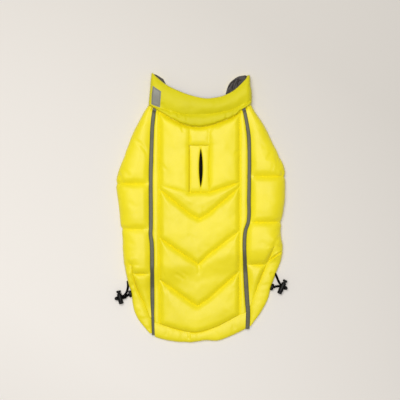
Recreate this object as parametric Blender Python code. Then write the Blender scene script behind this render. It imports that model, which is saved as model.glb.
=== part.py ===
"""Padded reversible dog coat, laid flat with its back up and its collar towards +Y.

The coat is a flattened tube from the neck to the belly hem, and a single flap behind it.
Sizes below are in millimetres: x to the right, y towards the collar, z up from the surface.
"""
import math
from collections import namedtuple

import bmesh
import bpy
import numpy as np
from mathutils import Matrix, Vector

MM = 0.001

# Walls and seams
WALL = 4.5                 # back, side and collar walls at a stitch line
BELLY_WALL = 5.0           # plain belly wall
SEAM_GAP = 0.3             # between pieces at a seam
NECK_GAP = 0.9             # between the collar and the sides and strips below it
LINING_WALL = 1.0
TAB_WALL = 1.0
STRIP_WIDTH = 6.4
STRIP_WALL = 2.0
STRIP_PROUD = 0.5          # top of a strip above the stitch lines beside it

# Heights of the inside of the back above the surface
LIFT_MIDDLE = 7.5
LIFT_SIDE = 9.0
LIFT_NECK = 4.0            # added at the neck seam
SIDE_REACH = 110.0         # x at which the side height is reached
NECK_LIFT_START = 90.0     # y where the neck rise starts
NECK_LIFT_END = 150.0

# The flap behind the belly, which comes down to the surface
FLAP_SKEW = 0.176          # the belly hem runs aslant by this much y for each x
FLAP_TOP = -78.0
FLAP_END = -118.0
BELLY_REAR = -74.0

# Padding raised above the stitch lines
PUFF_BACK = 8.0
PUFF_SIDE = 7.0
PUFF_CHANNEL = 4.0
PUFF_BAND = 1.2
PUFF_HEM = 3.2
HEM_WIDTH = 12.0           # a casing this wide is padded to the full height
HEM_EDGE = 0.3             # share of its height where the casing's outer edge turns under
HEM_TUCK = 1.2
HEM_CREST = 0.86           # share of its width over which a casing swells
PUFF_COLLAR = 4.5
PUFF_LIP = 2.4
PUFF_POWER = 0.45
BORDER_ROUND = 24.0        # width over which padding rises from a border stitch
FULL_CELL = 42.0           # a quilted cell this deep is padded to the full height
ROLL = 14.0                # half width of the rounded side fold
ROLL_SHARE = 0.6           # most of a side's width that its fold may take
ROLL_SHARE_NECK = 0.85     # the same beside the neck seam
SIDE_RISE = 24.0           # width over which the padding of a side rises from its strip
COLLAR_ROLL = 8.0
COLLAR_HEIGHT = 17.5       # collar ring from the surface to its upper stitch lines
COLLAR_EDGE = 1.2          # the top edges of the collar draw together by this much each
COLLAR_LOW_SHARE = 0.6     # padding below the collar's stitch line, of that above it

# Lead slit and its placket
PLACKET_LEFT = -17.4
PLACKET_RIGHT = 13.9
PLACKET_TOP = 99.8
PLACKET_BOTTOM = 24.8
SLIT_X = 0.4
SLIT_TOP = 94.7
SLIT_BOTTOM = 33.4
SLIT_HALF = 3.0
SLIT_END_HALF = 0.35

# Neck seam corners, where the front and the back of the collar fold into each other
NECK_CORNER_LEFT = (-83.4, 164.0)
NECK_CORNER_RIGHT = (81.0, 165.5)
COLLAR_TIP_LEFT = (-78.4, 216.3)
COLLAR_TIP_RIGHT = (78.6, 213.0)
COLLAR_BULGE = 1.6         # the right fold bows out by this much
COLLAR_BULGE_END = 0.625   # share of the collar's height where that ends
NECK_LEFT = -83.0          # reach of the back of the neck seam
NECK_SPAN = 164.0
FRONT_LEFT = -75.0         # reach of the front of the collar between its folds
FRONT_SPAN = 148.0

# Drawcord parts
CORD = 2.5                 # diameter
CORD_Z = 3.4
LOCK_RADIUS = 3.3
LOCK_BORE = 1.9
LOCK_STEM = 1.5
LOCK_HEAD_RADIUS = 3.0
LOCK_HEAD = 3.2
LOCK_OPEN = 2.0            # stem that shows between the head and the barrel
STEM_DEPTH = 4.2
CORD_HOLE_AT = 11.7        # from the button's end to the cord's hole through the barrel
BEAD_RADIUS = 2.4
EYELET_LENGTH = 11.5
EYELET_HEIGHT = 6.6
EYELET_WALL = 3.2
EYELET_HOLE = 3.4
EYELET_SIDES = 16
ROUND_SIDES = 12
BEAD_RINGS = 6

# Steps of the point grids, across each part of a piece
BACK_COLUMNS = (2, 5, 3, 3, 5, 2)
SIDE_START = 161.0         # y of the first row of a side, at its strip
SIDE_TOP_COLUMNS = 6
SIDE_ROLL_COLUMNS = 6
SIDE_UNDER_COLUMNS = 2
BELLY_COLUMNS = 16
BACK_STATIONS = 16
ROLL_STATIONS = 6
COLLAR_LOW_ROWS = 3
COLLAR_HIGH_ROWS = 5
TAB_STATIONS = 3
TAB_ROWS = (3, 7)
CORD_STEPS = 14

Point = namedtuple("Point", "x y")
Row = namedtuple("Row", "name border_left placket_left apex_x apex_y placket_right border_right steps")
Casing = namedtuple("Casing", "inner_y outer_x outer_y")
Edge = namedtuple("Edge", "inner_x inner_y outer_x outer_y")
Lock = namedtuple("Lock", "side out top_x top_y end_x end_y eyelet_x eyelet_y eyelet_turn")
Stop = namedtuple("Stop", "x y z")

# Side outlines from the neck corner to the hem
OUTLINE_LEFT = (
    Point(-83.4, 163.7), Point(-89.4, 155.2), Point(-100.0, 136.0), Point(-109.8, 116.3),
    Point(-124.0, 77.6), Point(-132.2, 57.3), Point(-135.4, 36.8), Point(-132.2, 14.4),
    Point(-129.1, -16.5), Point(-125.1, -47.0), Point(-124.0, -77.6), Point(-121.0, -98.1),
)
OUTLINE_RIGHT = (
    Point(81.0, 165.2), Point(86.6, 155.2), Point(102.4, 130.7), Point(114.7, 106.2),
    Point(125.5, 83.7), Point(133.1, 67.4), Point(135.4, 50.0), Point(134.1, 4.0),
    Point(130.0, -20.5), Point(129.0, -47.0), Point(132.0, -61.3), Point(131.0, -77.6),
)

# Centre lines of the reflective strips
STRIP_LEFT = (
    Point(-73.1, 160.0), Point(-76.2, 134.7), Point(-78.1, 93.9), Point(-79.2, 53.1),
    Point(-79.2, -32.0), Point(-79.6, -41.0), Point(-77.8, -57.3), Point(-77.1, -98.1),
    Point(-77.1, -139.0), Point(-76.6, -171.5), Point(-75.4, -204.0),
)
STRIP_RIGHT = (
    Point(68.8, 160.0), Point(73.9, 134.7), Point(77.0, 114.4), Point(77.9, 83.7),
    Point(77.2, 14.4), Point(76.2, -22.6), Point(71.8, -36.0), Point(70.0, -57.3),
    Point(71.2, -87.8), Point(74.3, -139.0), Point(76.2, -170.0), Point(75.2, -194.0),
)

# Seams between the sides and the hem casing
HEM_SEAM_LEFT = (
    Point(-109.9, -90.0), Point(-109.2, -98.1), Point(-101.6, -128.6),
    Point(-91.4, -151.0), Point(-84.6, -166.0), Point(-81.4, -175.0), Point(-79.8, -186.0),
)
HEM_SEAM_RIGHT = (
    Point(118.0, -60.0), Point(111.0, -77.6), Point(100.5, -102.0),
    Point(90.2, -128.6), Point(83.4, -147.0), Point(80.6, -157.0), Point(79.4, -168.0),
)

# Quilting of the back: y of each stitch line at the border stitches, placket edges and apex
BORDER_LEFT = -65.9
BORDER_RIGHT = 62.6
QUILT = (
    Row("neck", 153.5, 131.4, -1.8, 129.3, 131.8, 154.3, 5),
    Row("placket_top", 99.8, 99.8, -1.8, 99.8, 99.8, 99.8, 6),
    Row("placket_bottom", 37.0, 24.8, -1.8, 24.8, 24.8, 41.0, 5),
    Row("chevron_1", 30.5, -9.5, -2.4, -17.5, -8.0, 34.0, 7),
    Row("chevron_2", -47.0, -80.5, -3.7, -90.0, -73.5, -36.0, 7),
    Row("chevron_3", -115.0, -149.5, -5.2, -157.5, -145.0, -101.0, 6),
    Row("border", -185.2, -198.5, -5.2, -199.0, -194.5, -170.5, 0),
)

# Hem casing: y of its seam edge, and its outer edge, from the side towards the strip
HEM_LEFT = (
    Casing(-92.4, -121.8, -92.4), Casing(-110.0, -118.6, -110.0), Casing(-128.6, -114.2, -127.0),
    Casing(-137.5, -111.2, -137.5), Casing(-151.0, -109.6, -152.5), Casing(-166.5, -106.2, -167.0),
    Casing(-180.0, -98.2, -182.0), Casing(-192.0, -88.0, -195.0), Casing(-200.6, -81.8, -201.4),
)
HEM_RIGHT = (
    Casing(-62.4, 131.9, -62.4), Casing(-77.6, 131.0, -78.0), Casing(-90.0, 128.2, -90.0),
    Casing(-102.0, 122.4, -102.0), Casing(-119.0, 117.2, -117.0), Casing(-130.0, 113.2, -127.5),
    Casing(-147.0, 108.8, -146.5), Casing(-164.0, 98.0, -166.0), Casing(-178.0, 88.2, -179.8),
    Casing(-189.0, 81.4, -189.6),
)
HEM_CENTRE = (
    Edge(-71.0, -183.6, -71.4, -207.2), Edge(-58.0, -188.2, -60.0, -211.4),
    Edge(-40.0, -193.8, -42.0, -215.0), Edge(-20.0, -198.6, -20.0, -216.4),
    Edge(-5.2, -199.4, -5.2, -214.8), Edge(12.6, -195.0, 12.6, -213.0),
    Edge(27.0, -189.6, 27.0, -213.9), Edge(45.0, -180.6, 45.0, -207.6),
    Edge(60.0, -172.4, 60.0, -200.6), Edge(72.4, -167.4, 71.2, -195.2),
)

# Stitch lines across the sides, and the row where the belly hem leaves the fold open
SIDE_ROWS_LEFT = ((38.9, 9), (-33.8, 6), (-91.6, 5), (-105.3, 2), (-176.0, 7))
SIDE_ROWS_RIGHT = ((50.7, 9), (-22.6, 6), (-61.6, 4), (-90.9, 3), (-157.0, 7))
SIDE_STITCHES_LEFT = (38.9, -33.8, -105.3)
SIDE_STITCHES_RIGHT = (50.7, -22.6, -90.9)

# Under the coat: edge of the side flange and of the belly, with the leg openings between
FLANGE = (
    Point(72.4, 172.0), Point(72.4, 155.0), Point(72.6, 138.0), Point(72.8, 121.0),
    Point(72.6, 108.0), Point(72.8, 99.0), Point(76.0, 90.0),
    Point(89.0, 76.0), Point(92.5, 56.0), Point(89.0, 36.0), Point(76.0, 22.0),
    Point(74.0, 8.0), Point(74.0, -96.0),
)
BELLY_GAP = 0.7            # at the side flange
LEG_CUT = (
    Point(0.0, 104.0), Point(3.0, 98.0), Point(8.0, 90.0), Point(32.0, 76.0), Point(39.0, 56.0),
    Point(32.0, 36.0), Point(8.0, 22.0), Point(3.0, 14.0), Point(0.0, 8.0),
)
BELLY_ROWS = ((96.0, 4), (90.0, 1), (76.0, 1), (56.0, 2), (36.0, 2), (22.0, 1), (8.0, 1), (-40.0, 2))

# Neck seams and top edges of the collar, seen from above
BACK_SEAM = (
    Point(-83.4, 164.0), Point(-69.0, 155.4), Point(-46.6, 142.9), Point(-28.2, 134.2),
    Point(-7.7, 129.9), Point(12.6, 131.7), Point(35.0, 138.9), Point(55.5, 148.0),
    Point(66.0, 156.6), Point(81.0, 165.5),
)
BACK_TOP = (
    Point(-78.4, 216.3), Point(-54.7, 197.0), Point(-36.0, 187.6), Point(-17.9, 180.8),
    Point(8.6, 175.0), Point(24.0, 176.4), Point(39.2, 181.0), Point(55.5, 191.8),
    Point(72.0, 206.0), Point(78.6, 213.0),
)
FRONT_SEAM = (
    Point(-83.4, 164.0), Point(-72.0, 150.0), Point(-60.0, 136.0), Point(-46.0, 121.0),
    Point(-30.0, 108.5), Point(0.0, 100.0), Point(30.0, 108.5), Point(46.0, 121.0),
    Point(60.0, 136.0), Point(71.0, 150.0), Point(81.0, 165.5),
)
FRONT_TOP = (
    Point(-78.4, 216.3), Point(-69.0, 213.0), Point(-60.8, 208.2), Point(-55.5, 198.0),
    Point(-50.0, 186.0), Point(-42.0, 169.0), Point(-30.0, 153.0), Point(0.0, 143.0),
    Point(25.0, 150.0), Point(36.0, 166.0), Point(40.2, 182.0), Point(44.0, 195.0),
    Point(53.6, 206.4), Point(63.7, 211.8), Point(78.6, 213.0),
)
COLLAR_STITCH = (
    Point(-83.4, 0.12), Point(-70.0, 0.17), Point(-38.4, 0.27), Point(2.4, 0.41),
    Point(43.4, 0.33), Point(71.2, 0.2), Point(81.0, 0.15),
)
FRONT_X = (-64.0, -59.0, -54.0, -48.0, -40.0, -30.0, -16.0, 0.0,
           15.0, 26.0, 34.0, 39.5, 44.0, 50.0, 57.0, 64.0)

# Cord locks beside the hem, from the button's end to the barrel's end, and their eyelets
LOCKS = (
    Lock("left", -1, -131.7, -132.6, -127.0, -153.8, -113.3, -137.8, 10.8),
    Lock("right", 1, 136.5, -115.5, 126.2, -137.4, 115.9, -126.9, -20.5),
)

# Routes of the cord on each side, from the hem to the lock and from the lock to the eyelet
CORD_ROUTES = {
    "drawcord_left_upper": (
        Stop(-118.3, -117.4, 3.2), Stop(-118.3, -119.6, 2.4), Stop(-117.7, -123.0, 1.7),
        Stop(-117.5, -127.5, 1.5), Stop(-118.0, -132.0, 1.6), Stop(-119.4, -136.2, 1.9),
        Stop(-121.6, -139.4, 2.6), Stop(-123.8, -141.1, 3.2), Stop(-125.85, -141.7, 3.4),
    ),
    "drawcord_left_lower": (
        Stop(-125.2, -144.6, 3.4), Stop(-123.0, -144.2, 3.2), Stop(-120.6, -143.0, 2.8),
        Stop(-118.4, -140.6, 2.9), Stop(-115.3, -138.2, 3.3),
    ),
    "drawcord_right_upper": (
        Stop(122.6, -107.0, 3.2), Stop(122.9, -109.8, 2.4), Stop(123.6, -113.0, 1.7),
        Stop(124.4, -116.4, 1.6), Stop(125.2, -119.4, 1.9), Stop(126.2, -121.5, 2.6),
        Stop(127.5, -122.6, 3.2), Stop(128.8, -123.2, 3.4),
    ),
    "drawcord_right_lower": (
        Stop(127.6, -125.8, 3.4), Stop(125.2, -125.2, 3.1), Stop(122.6, -125.5, 2.8),
        Stop(120.2, -126.6, 3.0), Stop(117.9, -127.6, 3.3),
    ),
}

COLOURS = {
    "shell": ((0.87, 0.79, 0.05), 0.55, 0.0),
    "collar_shell": ((0.72, 0.66, 0.05), 0.6, 0.0),
    "lining": ((0.10, 0.09, 0.085), 0.8, 0.0),
    "reflective": ((0.18, 0.195, 0.175), 0.5, 0.2),
    "black_plastic": ((0.01, 0.01, 0.01), 0.4, 0.0),
    "black_cord": ((0.012, 0.012, 0.012), 0.85, 0.0),
}


def clear_scene():
    for item in list(bpy.data.objects):
        bpy.data.objects.remove(item, do_unlink=True)


def material(slot):
    found = bpy.data.materials.get(slot)
    if found:
        return found
    colour, roughness, metallic = COLOURS[slot]
    made = bpy.data.materials.new(slot)
    made.use_nodes = True
    shader = made.node_tree.nodes["Principled BSDF"]
    shader.inputs["Base Color"].default_value = (*colour, 1.0)
    shader.inputs["Roughness"].default_value = roughness
    shader.inputs["Metallic"].default_value = metallic
    return made


def smooth_curve(keys, values):
    """Cubic curve through the given values that keeps the slope between its neighbours."""
    order = np.argsort(keys)
    k = np.asarray(keys, float)[order]
    v = np.asarray(values, float)[order]
    step = np.diff(v) / np.diff(k)
    slope = np.concatenate(([step[0]], (step[:-1] + step[1:]) / 2, [step[-1]]))

    def at(key):
        key = np.clip(np.asarray(key, float), k[0], k[-1])
        i = np.clip(np.searchsorted(k, key) - 1, 0, len(k) - 2)
        width = k[i + 1] - k[i]
        t = (key - k[i]) / width
        rise = v[i + 1] - v[i]
        bend_a = slope[i] * width - rise
        bend_b = rise - slope[i + 1] * width
        return v[i] + rise * t + t * (1 - t) * (bend_a * (1 - t) + bend_b * t)

    return at


def x_by_y(points):
    return smooth_curve([p.y for p in points], [p.x for p in points])


def y_by_x(points):
    return smooth_curve([p.x for p in points], [p.y for p in points])


outline = {-1: x_by_y(OUTLINE_LEFT), 1: x_by_y(OUTLINE_RIGHT)}
strip_line = {-1: x_by_y(STRIP_LEFT), 1: x_by_y(STRIP_RIGHT)}
hem_seam = {-1: x_by_y(HEM_SEAM_LEFT), 1: x_by_y(HEM_SEAM_RIGHT)}
flange_edge = x_by_y(FLANGE)
leg_cut = x_by_y(LEG_CUT)
back_seam = y_by_x(BACK_SEAM)
back_top = y_by_x(BACK_TOP)
front_seam = y_by_x(FRONT_SEAM)
front_top = y_by_x(FRONT_TOP)
collar_stitch = y_by_x(COLLAR_STITCH)
border_line = smooth_curve([e.inner_x for e in HEM_CENTRE], [e.inner_y for e in HEM_CENTRE])


def belly_edge(y):
    return flange_edge(y) - BELLY_GAP - np.maximum(leg_cut(y), 0.0)


def ease(value):
    value = np.clip(value, 0.0, 1.0)
    return value * value * (3.0 - 2.0 * value)


def inside_height(x, y):
    """Height of the inside of the back: over the belly, rising to the neck, down at the flap."""
    across = np.minimum(np.abs(x) / SIDE_REACH, 1.0) ** 2
    lift = LIFT_MIDDLE + (LIFT_SIDE - LIFT_MIDDLE) * across
    lift = lift + LIFT_NECK * ease((y - NECK_LIFT_START) / (NECK_LIFT_END - NECK_LIFT_START))
    return lift * ease((y - FLAP_SKEW * x - FLAP_END) / (FLAP_TOP - FLAP_END))


def stitch_height(x, y):
    return inside_height(x, y) + WALL


def puff(t):
    """Cross-section of a padded cell between two stitch lines, 0 at both and 1 halfway."""
    return np.clip(4.0 * t * (1.0 - t), 0.0, 1.0) ** PUFF_POWER


def border_puff(distance):
    """Rise of the padding beside one stitch line."""
    return np.clip(1.0 - (1.0 - np.clip(distance / BORDER_ROUND, 0, 1)) ** 2, 0, 1) ** 0.5


def add_object(name, mesh_data, slot):
    mesh = bpy.data.meshes.new(name)
    mesh_data.to_mesh(mesh)
    mesh_data.free()
    mesh.materials.append(material(slot))
    mesh.shade_smooth()
    mesh.set_sharp_from_angle(angle=math.radians(50))
    item = bpy.data.objects.new(name, mesh)
    bpy.context.collection.objects.link(item)
    return item


def wall(name, slot, outer, inner, keep=None, ring=False):
    """Closed wall between two matching grids; keep marks the cells that are cloth."""
    rows, columns = outer.shape[:2]
    cells = rows - 1, columns if ring else columns - 1
    if keep is None:
        keep = np.ones(cells, bool)
    made = bmesh.new()
    vertices = {}

    def vertex(layer, i, j):
        key = layer, i, j % columns
        if key not in vertices:
            grid = inner if layer else outer
            vertices[key] = made.verts.new(Vector(grid[i, j % columns]) * MM)
        return vertices[key]

    def kept(i, j):
        if ring:
            j %= columns
        return 0 <= i < cells[0] and 0 <= j < cells[1] and bool(keep[i, j])

    for i in range(cells[0]):
        for j in range(cells[1]):
            if not kept(i, j):
                continue
            corners = ((i, j), (i + 1, j), (i + 1, j + 1), (i, j + 1))
            made.faces.new([vertex(0, *c) for c in corners])
            made.faces.new([vertex(1, *c) for c in reversed(corners)])
            sides = ((i, j - 1), (i + 1, j), (i, j + 1), (i - 1, j))
            for side, neighbour in enumerate(sides):
                if kept(*neighbour):
                    continue
                a, b = corners[side], corners[(side + 1) % 4]
                made.faces.new([vertex(0, *b), vertex(0, *a), vertex(1, *a), vertex(1, *b)])
    bmesh.ops.recalc_face_normals(made, faces=made.faces)
    return add_object(name, made, slot)


def strip_side(side, y, towards):
    """x of a strip's edge: towards -1 is its left edge, 1 its right edge."""
    return strip_line[side](y) + towards * STRIP_WIDTH / 2


def back_rows():
    """One list of (block, share, y at the five stitch crossings, apex x) for each grid row."""
    rows = []
    for block in range(len(QUILT) - 1):
        upper, lower = QUILT[block], QUILT[block + 1]
        last = block == len(QUILT) - 2
        for k in range(upper.steps + (1 if last else 0)):
            t = k / upper.steps
            pairs = zip(quilt_heights(upper), quilt_heights(lower))
            crossings = [a + (b - a) * t for a, b in pairs]
            apex = upper.apex_x + (lower.apex_x - upper.apex_x) * t
            rows.append((block, t, crossings, apex))
    return rows


def quilt_heights(row):
    return [row.border_left, row.placket_left, row.apex_y, row.placket_right, row.border_right]


def back_y(block, t, x, x_knots, y_knots):
    """y of a grid row at x: straight between the stitch crossings, curved at both ends."""
    y = float(np.interp(x, x_knots, y_knots))
    if block == 0:
        y = float(back_seam(x) - 2 * SEAM_GAP) * (1 - t) + QUILT[1].apex_y * t
    if block == len(QUILT) - 2:
        y += float(border_line(x) + SEAM_GAP - np.interp(x, x_knots, border_knots())) * t
    return y


def border_knots():
    return [QUILT[-1].border_left, *quilt_heights(QUILT[-1]), QUILT[-1].border_right]


def back_point_grid():
    rows = back_rows()
    outer = np.zeros((len(rows), sum(BACK_COLUMNS) + 1, 3))
    for i, (block, t, crossings, apex) in enumerate(rows):
        y_knots = [crossings[0], *crossings, crossings[-1]]
        x_knots = [0.0, BORDER_LEFT, PLACKET_LEFT, apex, PLACKET_RIGHT, BORDER_RIGHT, 0.0]
        for end, side in ((0, -1), (-1, 1)):
            x_knots[end] = float(strip_side(side, y_knots[end], -side)) - side * SEAM_GAP
            for _ in range(4):
                y = back_y(block, t, x_knots[end], x_knots, y_knots)
                x_knots[end] = float(strip_side(side, y, -side)) - side * SEAM_GAP
        j = 0
        for part, steps in enumerate(BACK_COLUMNS):
            for k in range(steps + (1 if part == len(BACK_COLUMNS) - 1 else 0)):
                s = k / steps
                x = x_knots[part] + (x_knots[part + 1] - x_knots[part]) * s
                y = back_y(block, t, x, x_knots, y_knots)
                outer[i, j] = x, y, back_padding(block, t, part, s, x, y)
                j += 1
    return outer


def back_padding(block, t, part, s, x, y):
    """Padding of the back above its stitch lines, 0 on each stitch line."""
    if part in (0, 5):
        return PUFF_BAND * puff(s)
    if block <= 1:
        if part in (2, 3):
            half = s / 2 if part == 2 else 0.5 + s / 2
            return PUFF_CHANNEL * puff(half) * puff(0.06 + 0.94 * t) if block == 0 else 0.0
        tall = np.interp(block + t, (0.0, 1.0, 2.0), (0.03, 0.42, 1.0))
        return PUFF_BACK * puff(s) * puff(tall)
    upper, lower = QUILT[block], QUILT[block + 1]
    knots = (BORDER_LEFT, PLACKET_LEFT, upper.apex_x, PLACKET_RIGHT, BORDER_RIGHT)
    top = np.interp(x, knots, quilt_heights(upper))
    low = np.interp(x, knots, quilt_heights(lower))
    depth = min(1.0, max(top - low, 0.0) / FULL_CELL) ** 0.7
    distance = min(x - BORDER_LEFT, BORDER_RIGHT - x)
    return PUFF_BACK * depth * puff(t) * border_puff(distance)


def build_back():
    outer = back_point_grid()
    inner = outer.copy()
    x, y = outer[..., 0], outer[..., 1]
    outer[..., 2] += stitch_height(x, y)
    inner[..., 2] = inside_height(x, y)
    blocks = [row[0] for row in back_rows()]
    keep = np.ones((outer.shape[0] - 1, outer.shape[1] - 1), bool)
    first = sum(BACK_COLUMNS[:2])
    last = sum(BACK_COLUMNS[:4])
    for i in range(keep.shape[0]):
        if blocks[i] == 1:
            keep[i, first:last] = False
    wall("back_panel", "shell", outer, inner, keep)


def build_placket():
    """Stitched rectangle round the lead slit, whose lips part in a narrow lens."""
    inset = SEAM_GAP
    ends = np.array([PLACKET_TOP - inset, SLIT_TOP])
    ends = np.append(ends, np.linspace(SLIT_TOP, SLIT_BOTTOM, 11)[1:])
    ends = np.append(ends, PLACKET_BOTTOM + inset)
    columns = 8
    outer = np.zeros((len(ends), columns, 3))
    centre = (SLIT_TOP + SLIT_BOTTOM) / 2
    reach = (SLIT_TOP - SLIT_BOTTOM) / 2
    for i, y in enumerate(ends):
        share = max(0.0, 1.0 - ((y - centre) / reach) ** 2)
        half = max(SLIT_END_HALF, SLIT_HALF * share ** 0.8)
        left = np.linspace(PLACKET_LEFT + inset, SLIT_X - half, 4)
        right = np.linspace(SLIT_X + half, PLACKET_RIGHT - inset, 4)
        lips = puff(np.array([0.0, 0.3, 0.6, 0.93, 0.93, 0.6, 0.3, 0.0]))
        lengthwise = puff((PLACKET_TOP - y) / (PLACKET_TOP - PLACKET_BOTTOM))
        for j, x in enumerate(np.concatenate((left, right))):
            outer[i, j] = x, y, stitch_height(x, y) + PUFF_LIP * lips[j] * lengthwise
    inner = outer.copy()
    inner[..., 2] = inside_height(outer[..., 0], outer[..., 1])
    keep = np.ones((len(ends) - 1, columns - 1), bool)
    keep[1:-1, 3] = False
    wall("lead_placket", "shell", outer, inner, keep)


def neck_y(x, level):
    """Neck seam at x; level is 1 on the back, 0 on the front and between in the fold."""
    return front_seam(x) + (back_seam(x) - front_seam(x)) * level


def side_rows(side):
    blocks = SIDE_ROWS_LEFT if side < 0 else SIDE_ROWS_RIGHT
    start = SIDE_START
    rows = [(0, start)]
    for block, (end, steps) in enumerate(blocks):
        for k in range(1, steps + 1):
            rows.append((block, start + (end - start) * k / steps))
        start = end
    return rows


def side_share(side, y):
    """Share of the way down the padded cell that y lies in."""
    stitches = SIDE_STITCHES_LEFT if side < 0 else SIDE_STITCHES_RIGHT
    end = (SIDE_ROWS_LEFT if side < 0 else SIDE_ROWS_RIGHT)[-1][0]
    lines = (164.0, *stitches, end - 1.0)
    for upper, lower in zip(lines, lines[1:]):
        if y > lower:
            return (upper - y) / (upper - lower)
    return 1.0


def side_y(side, block, row_y, x, angle):
    """y of a point of a side; the first rows turn from level to the slope of the neck seam."""
    if block:
        return row_y
    first = (SIDE_ROWS_LEFT if side < 0 else SIDE_ROWS_RIGHT)[0][0]
    neck = float(neck_y(x, (1 + math.sin(angle)) / 2)) - NECK_GAP
    return neck + (first - neck) * (SIDE_START - row_y) / (SIDE_START - first)


def follow(side, block, row_y, angle, edge):
    """x where a row of a side meets an edge that is known as x by y."""
    x = float(edge(row_y))
    for _ in range(4):
        x = float(edge(side_y(side, block, row_y, x, angle)))
    return x


def build_side(name, side):
    """Padded side: over the top, round the fold and back under to the belly seam."""
    open_row_y = (SIDE_ROWS_LEFT if side < 0 else SIDE_ROWS_RIGHT)[2][0]
    rows = side_rows(side)
    columns = SIDE_TOP_COLUMNS + SIDE_ROLL_COLUMNS + SIDE_UNDER_COLUMNS + 1
    outer = np.zeros((len(rows), columns, 3))
    inner = np.zeros((len(rows), columns, 3))
    keep = np.ones((len(rows) - 1, columns - 1), bool)
    for i, (block, row_y) in enumerate(rows):
        flap = row_y < open_row_y - 0.01
        if i + 1 < len(rows) and rows[i + 1][1] < open_row_y - 0.01:
            keep[i, SIDE_TOP_COLUMNS:] = False
        x_in = follow(side, block, row_y, math.pi / 2,
                      lambda y: strip_side(side, y, side) + side * SEAM_GAP)
        x_out = follow(side, block, row_y, 0.0, outline[side])
        roll_share = ROLL_SHARE_NECK if i < 2 else ROLL_SHARE
        roll = min(ROLL, roll_share * abs(x_out - x_in))
        x_roll = x_out - side * roll
        if abs(row_y - open_row_y) < 0.01:
            x_roll = float(hem_seam[side](row_y)) - side * SEAM_GAP / 2
            roll = abs(x_out - x_roll)
        x_under = follow(side, block, row_y, -math.pi / 2, lambda y: side * flange_edge(y))
        x_under = side * min(abs(x_under), abs(x_roll) - 0.6)
        if flap:
            x_roll = float(hem_seam[side](row_y)) - side * SEAM_GAP / 2
        padding = PUFF_SIDE * float(puff(side_share(side, row_y)))
        padding *= min(1.0, abs(x_roll - x_in) / SIDE_RISE)
        top_y = side_y(side, block, row_y, x_roll, math.pi / 2)
        base = float(stitch_height(x_roll, top_y))
        rise = float(border_puff(abs(x_roll - x_in)))
        inner_roll = max(roll - WALL, 0.3)
        for j in range(columns):
            angle = math.pi / 2
            if j <= SIDE_TOP_COLUMNS:
                s = j / SIDE_TOP_COLUMNS
                x = x_in + (x_roll - x_in) * s
                y = side_y(side, block, row_y, x, angle)
                lift = puff(s) if flap else border_puff(abs(x - x_in))
                points = ((x, float(stitch_height(x, y)) + padding * float(lift)),
                          (x, float(inside_height(x, y))))
            elif j <= SIDE_TOP_COLUMNS + SIDE_ROLL_COLUMNS:
                angle -= math.pi * (j - SIDE_TOP_COLUMNS) / SIDE_ROLL_COLUMNS
                out, up = math.cos(angle), math.sin(angle)
                points = ((x_roll + side * roll * out,
                           base / 2 * (1 + up) + padding * rise * max(0.0, up)),
                          (x_roll + side * inner_roll * out, base / 2 + (base / 2 - WALL) * up))
            else:
                angle = -math.pi / 2
                s = (j - SIDE_TOP_COLUMNS - SIDE_ROLL_COLUMNS) / SIDE_UNDER_COLUMNS
                x = x_roll + (x_under - x_roll) * s
                points = (x, 0.0), (x, WALL)
            for grid, (x, z) in zip((outer, inner), points):
                grid[i, j] = x, side_y(side, block, row_y, x, angle), max(z, 0.0)
    wall(name, "shell", outer, inner, keep)


def front_row(x, t):
    """y of the belly's first rows, from the neck seam to a straight line across."""
    return float(front_seam(x) - 2 * SEAM_GAP) * (1 - t) + BELLY_ROWS[0][0] * t


def front_edge(t):
    """x where such a row meets the belly's edge."""
    x = float(belly_edge(BELLY_ROWS[0][0]))
    for _ in range(6):
        x = float(belly_edge(front_row(x, t)))
    return x


def build_belly():
    """Plain belly wall, flat underneath, with its edges cut back at the leg openings."""
    rows = [(0.0, None)]
    start = None
    for end, steps in BELLY_ROWS:
        for k in range(1, steps + 1):
            rows.append((k / steps, (start, end)))
        start = end
    rows += [(k / 2, (start, "rear")) for k in (1, 2)]
    shares = np.linspace(-1.0, 1.0, BELLY_COLUMNS + 1)
    outer = np.zeros((len(rows), len(shares), 3))
    for i, (t, span) in enumerate(rows):
        for j, share in enumerate(shares):
            if span is None or span[0] is None:
                x = share * front_edge(t)
                y = front_row(x, t)
            elif span[1] == "rear":
                x = share * float(belly_edge(span[0]))
                y = span[0] + (BELLY_REAR + FLAP_SKEW * x - span[0]) * t
            else:
                y = span[0] + (span[1] - span[0]) * t
                x = share * float(belly_edge(y))
            outer[i, j] = x, y, BELLY_WALL
    inner = outer.copy()
    inner[..., 2] = 0.0
    wall("belly_panel", "shell", outer, inner)


def smooth_rows(table, steps):
    """Values between the rows of a table, on smooth curves."""
    keys = np.arange(len(table))
    at = np.linspace(0, len(table) - 1, (len(table) - 1) * steps + 1)
    return [smooth_curve(keys, [row[k] for row in table])(at) for k in range(len(table[0]))]


def side_casing(side, table):
    """Edges of a casing beside a strip, its seam edge along the side's seam and then the strip."""
    inner_y, outer_x, outer_y = smooth_rows(table, 2)
    seam = np.abs(hem_seam[side](inner_y)) + SEAM_GAP
    strip = np.abs(strip_side(side, inner_y, side)) + SEAM_GAP
    return side * np.maximum(seam, strip), inner_y, outer_x, outer_y


def centre_casing():
    inner_x, _, outer_x, outer_y = smooth_rows(HEM_CENTRE, 2)
    return inner_x, border_line(inner_x) - SEAM_GAP / 3, outer_x, outer_y


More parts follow.
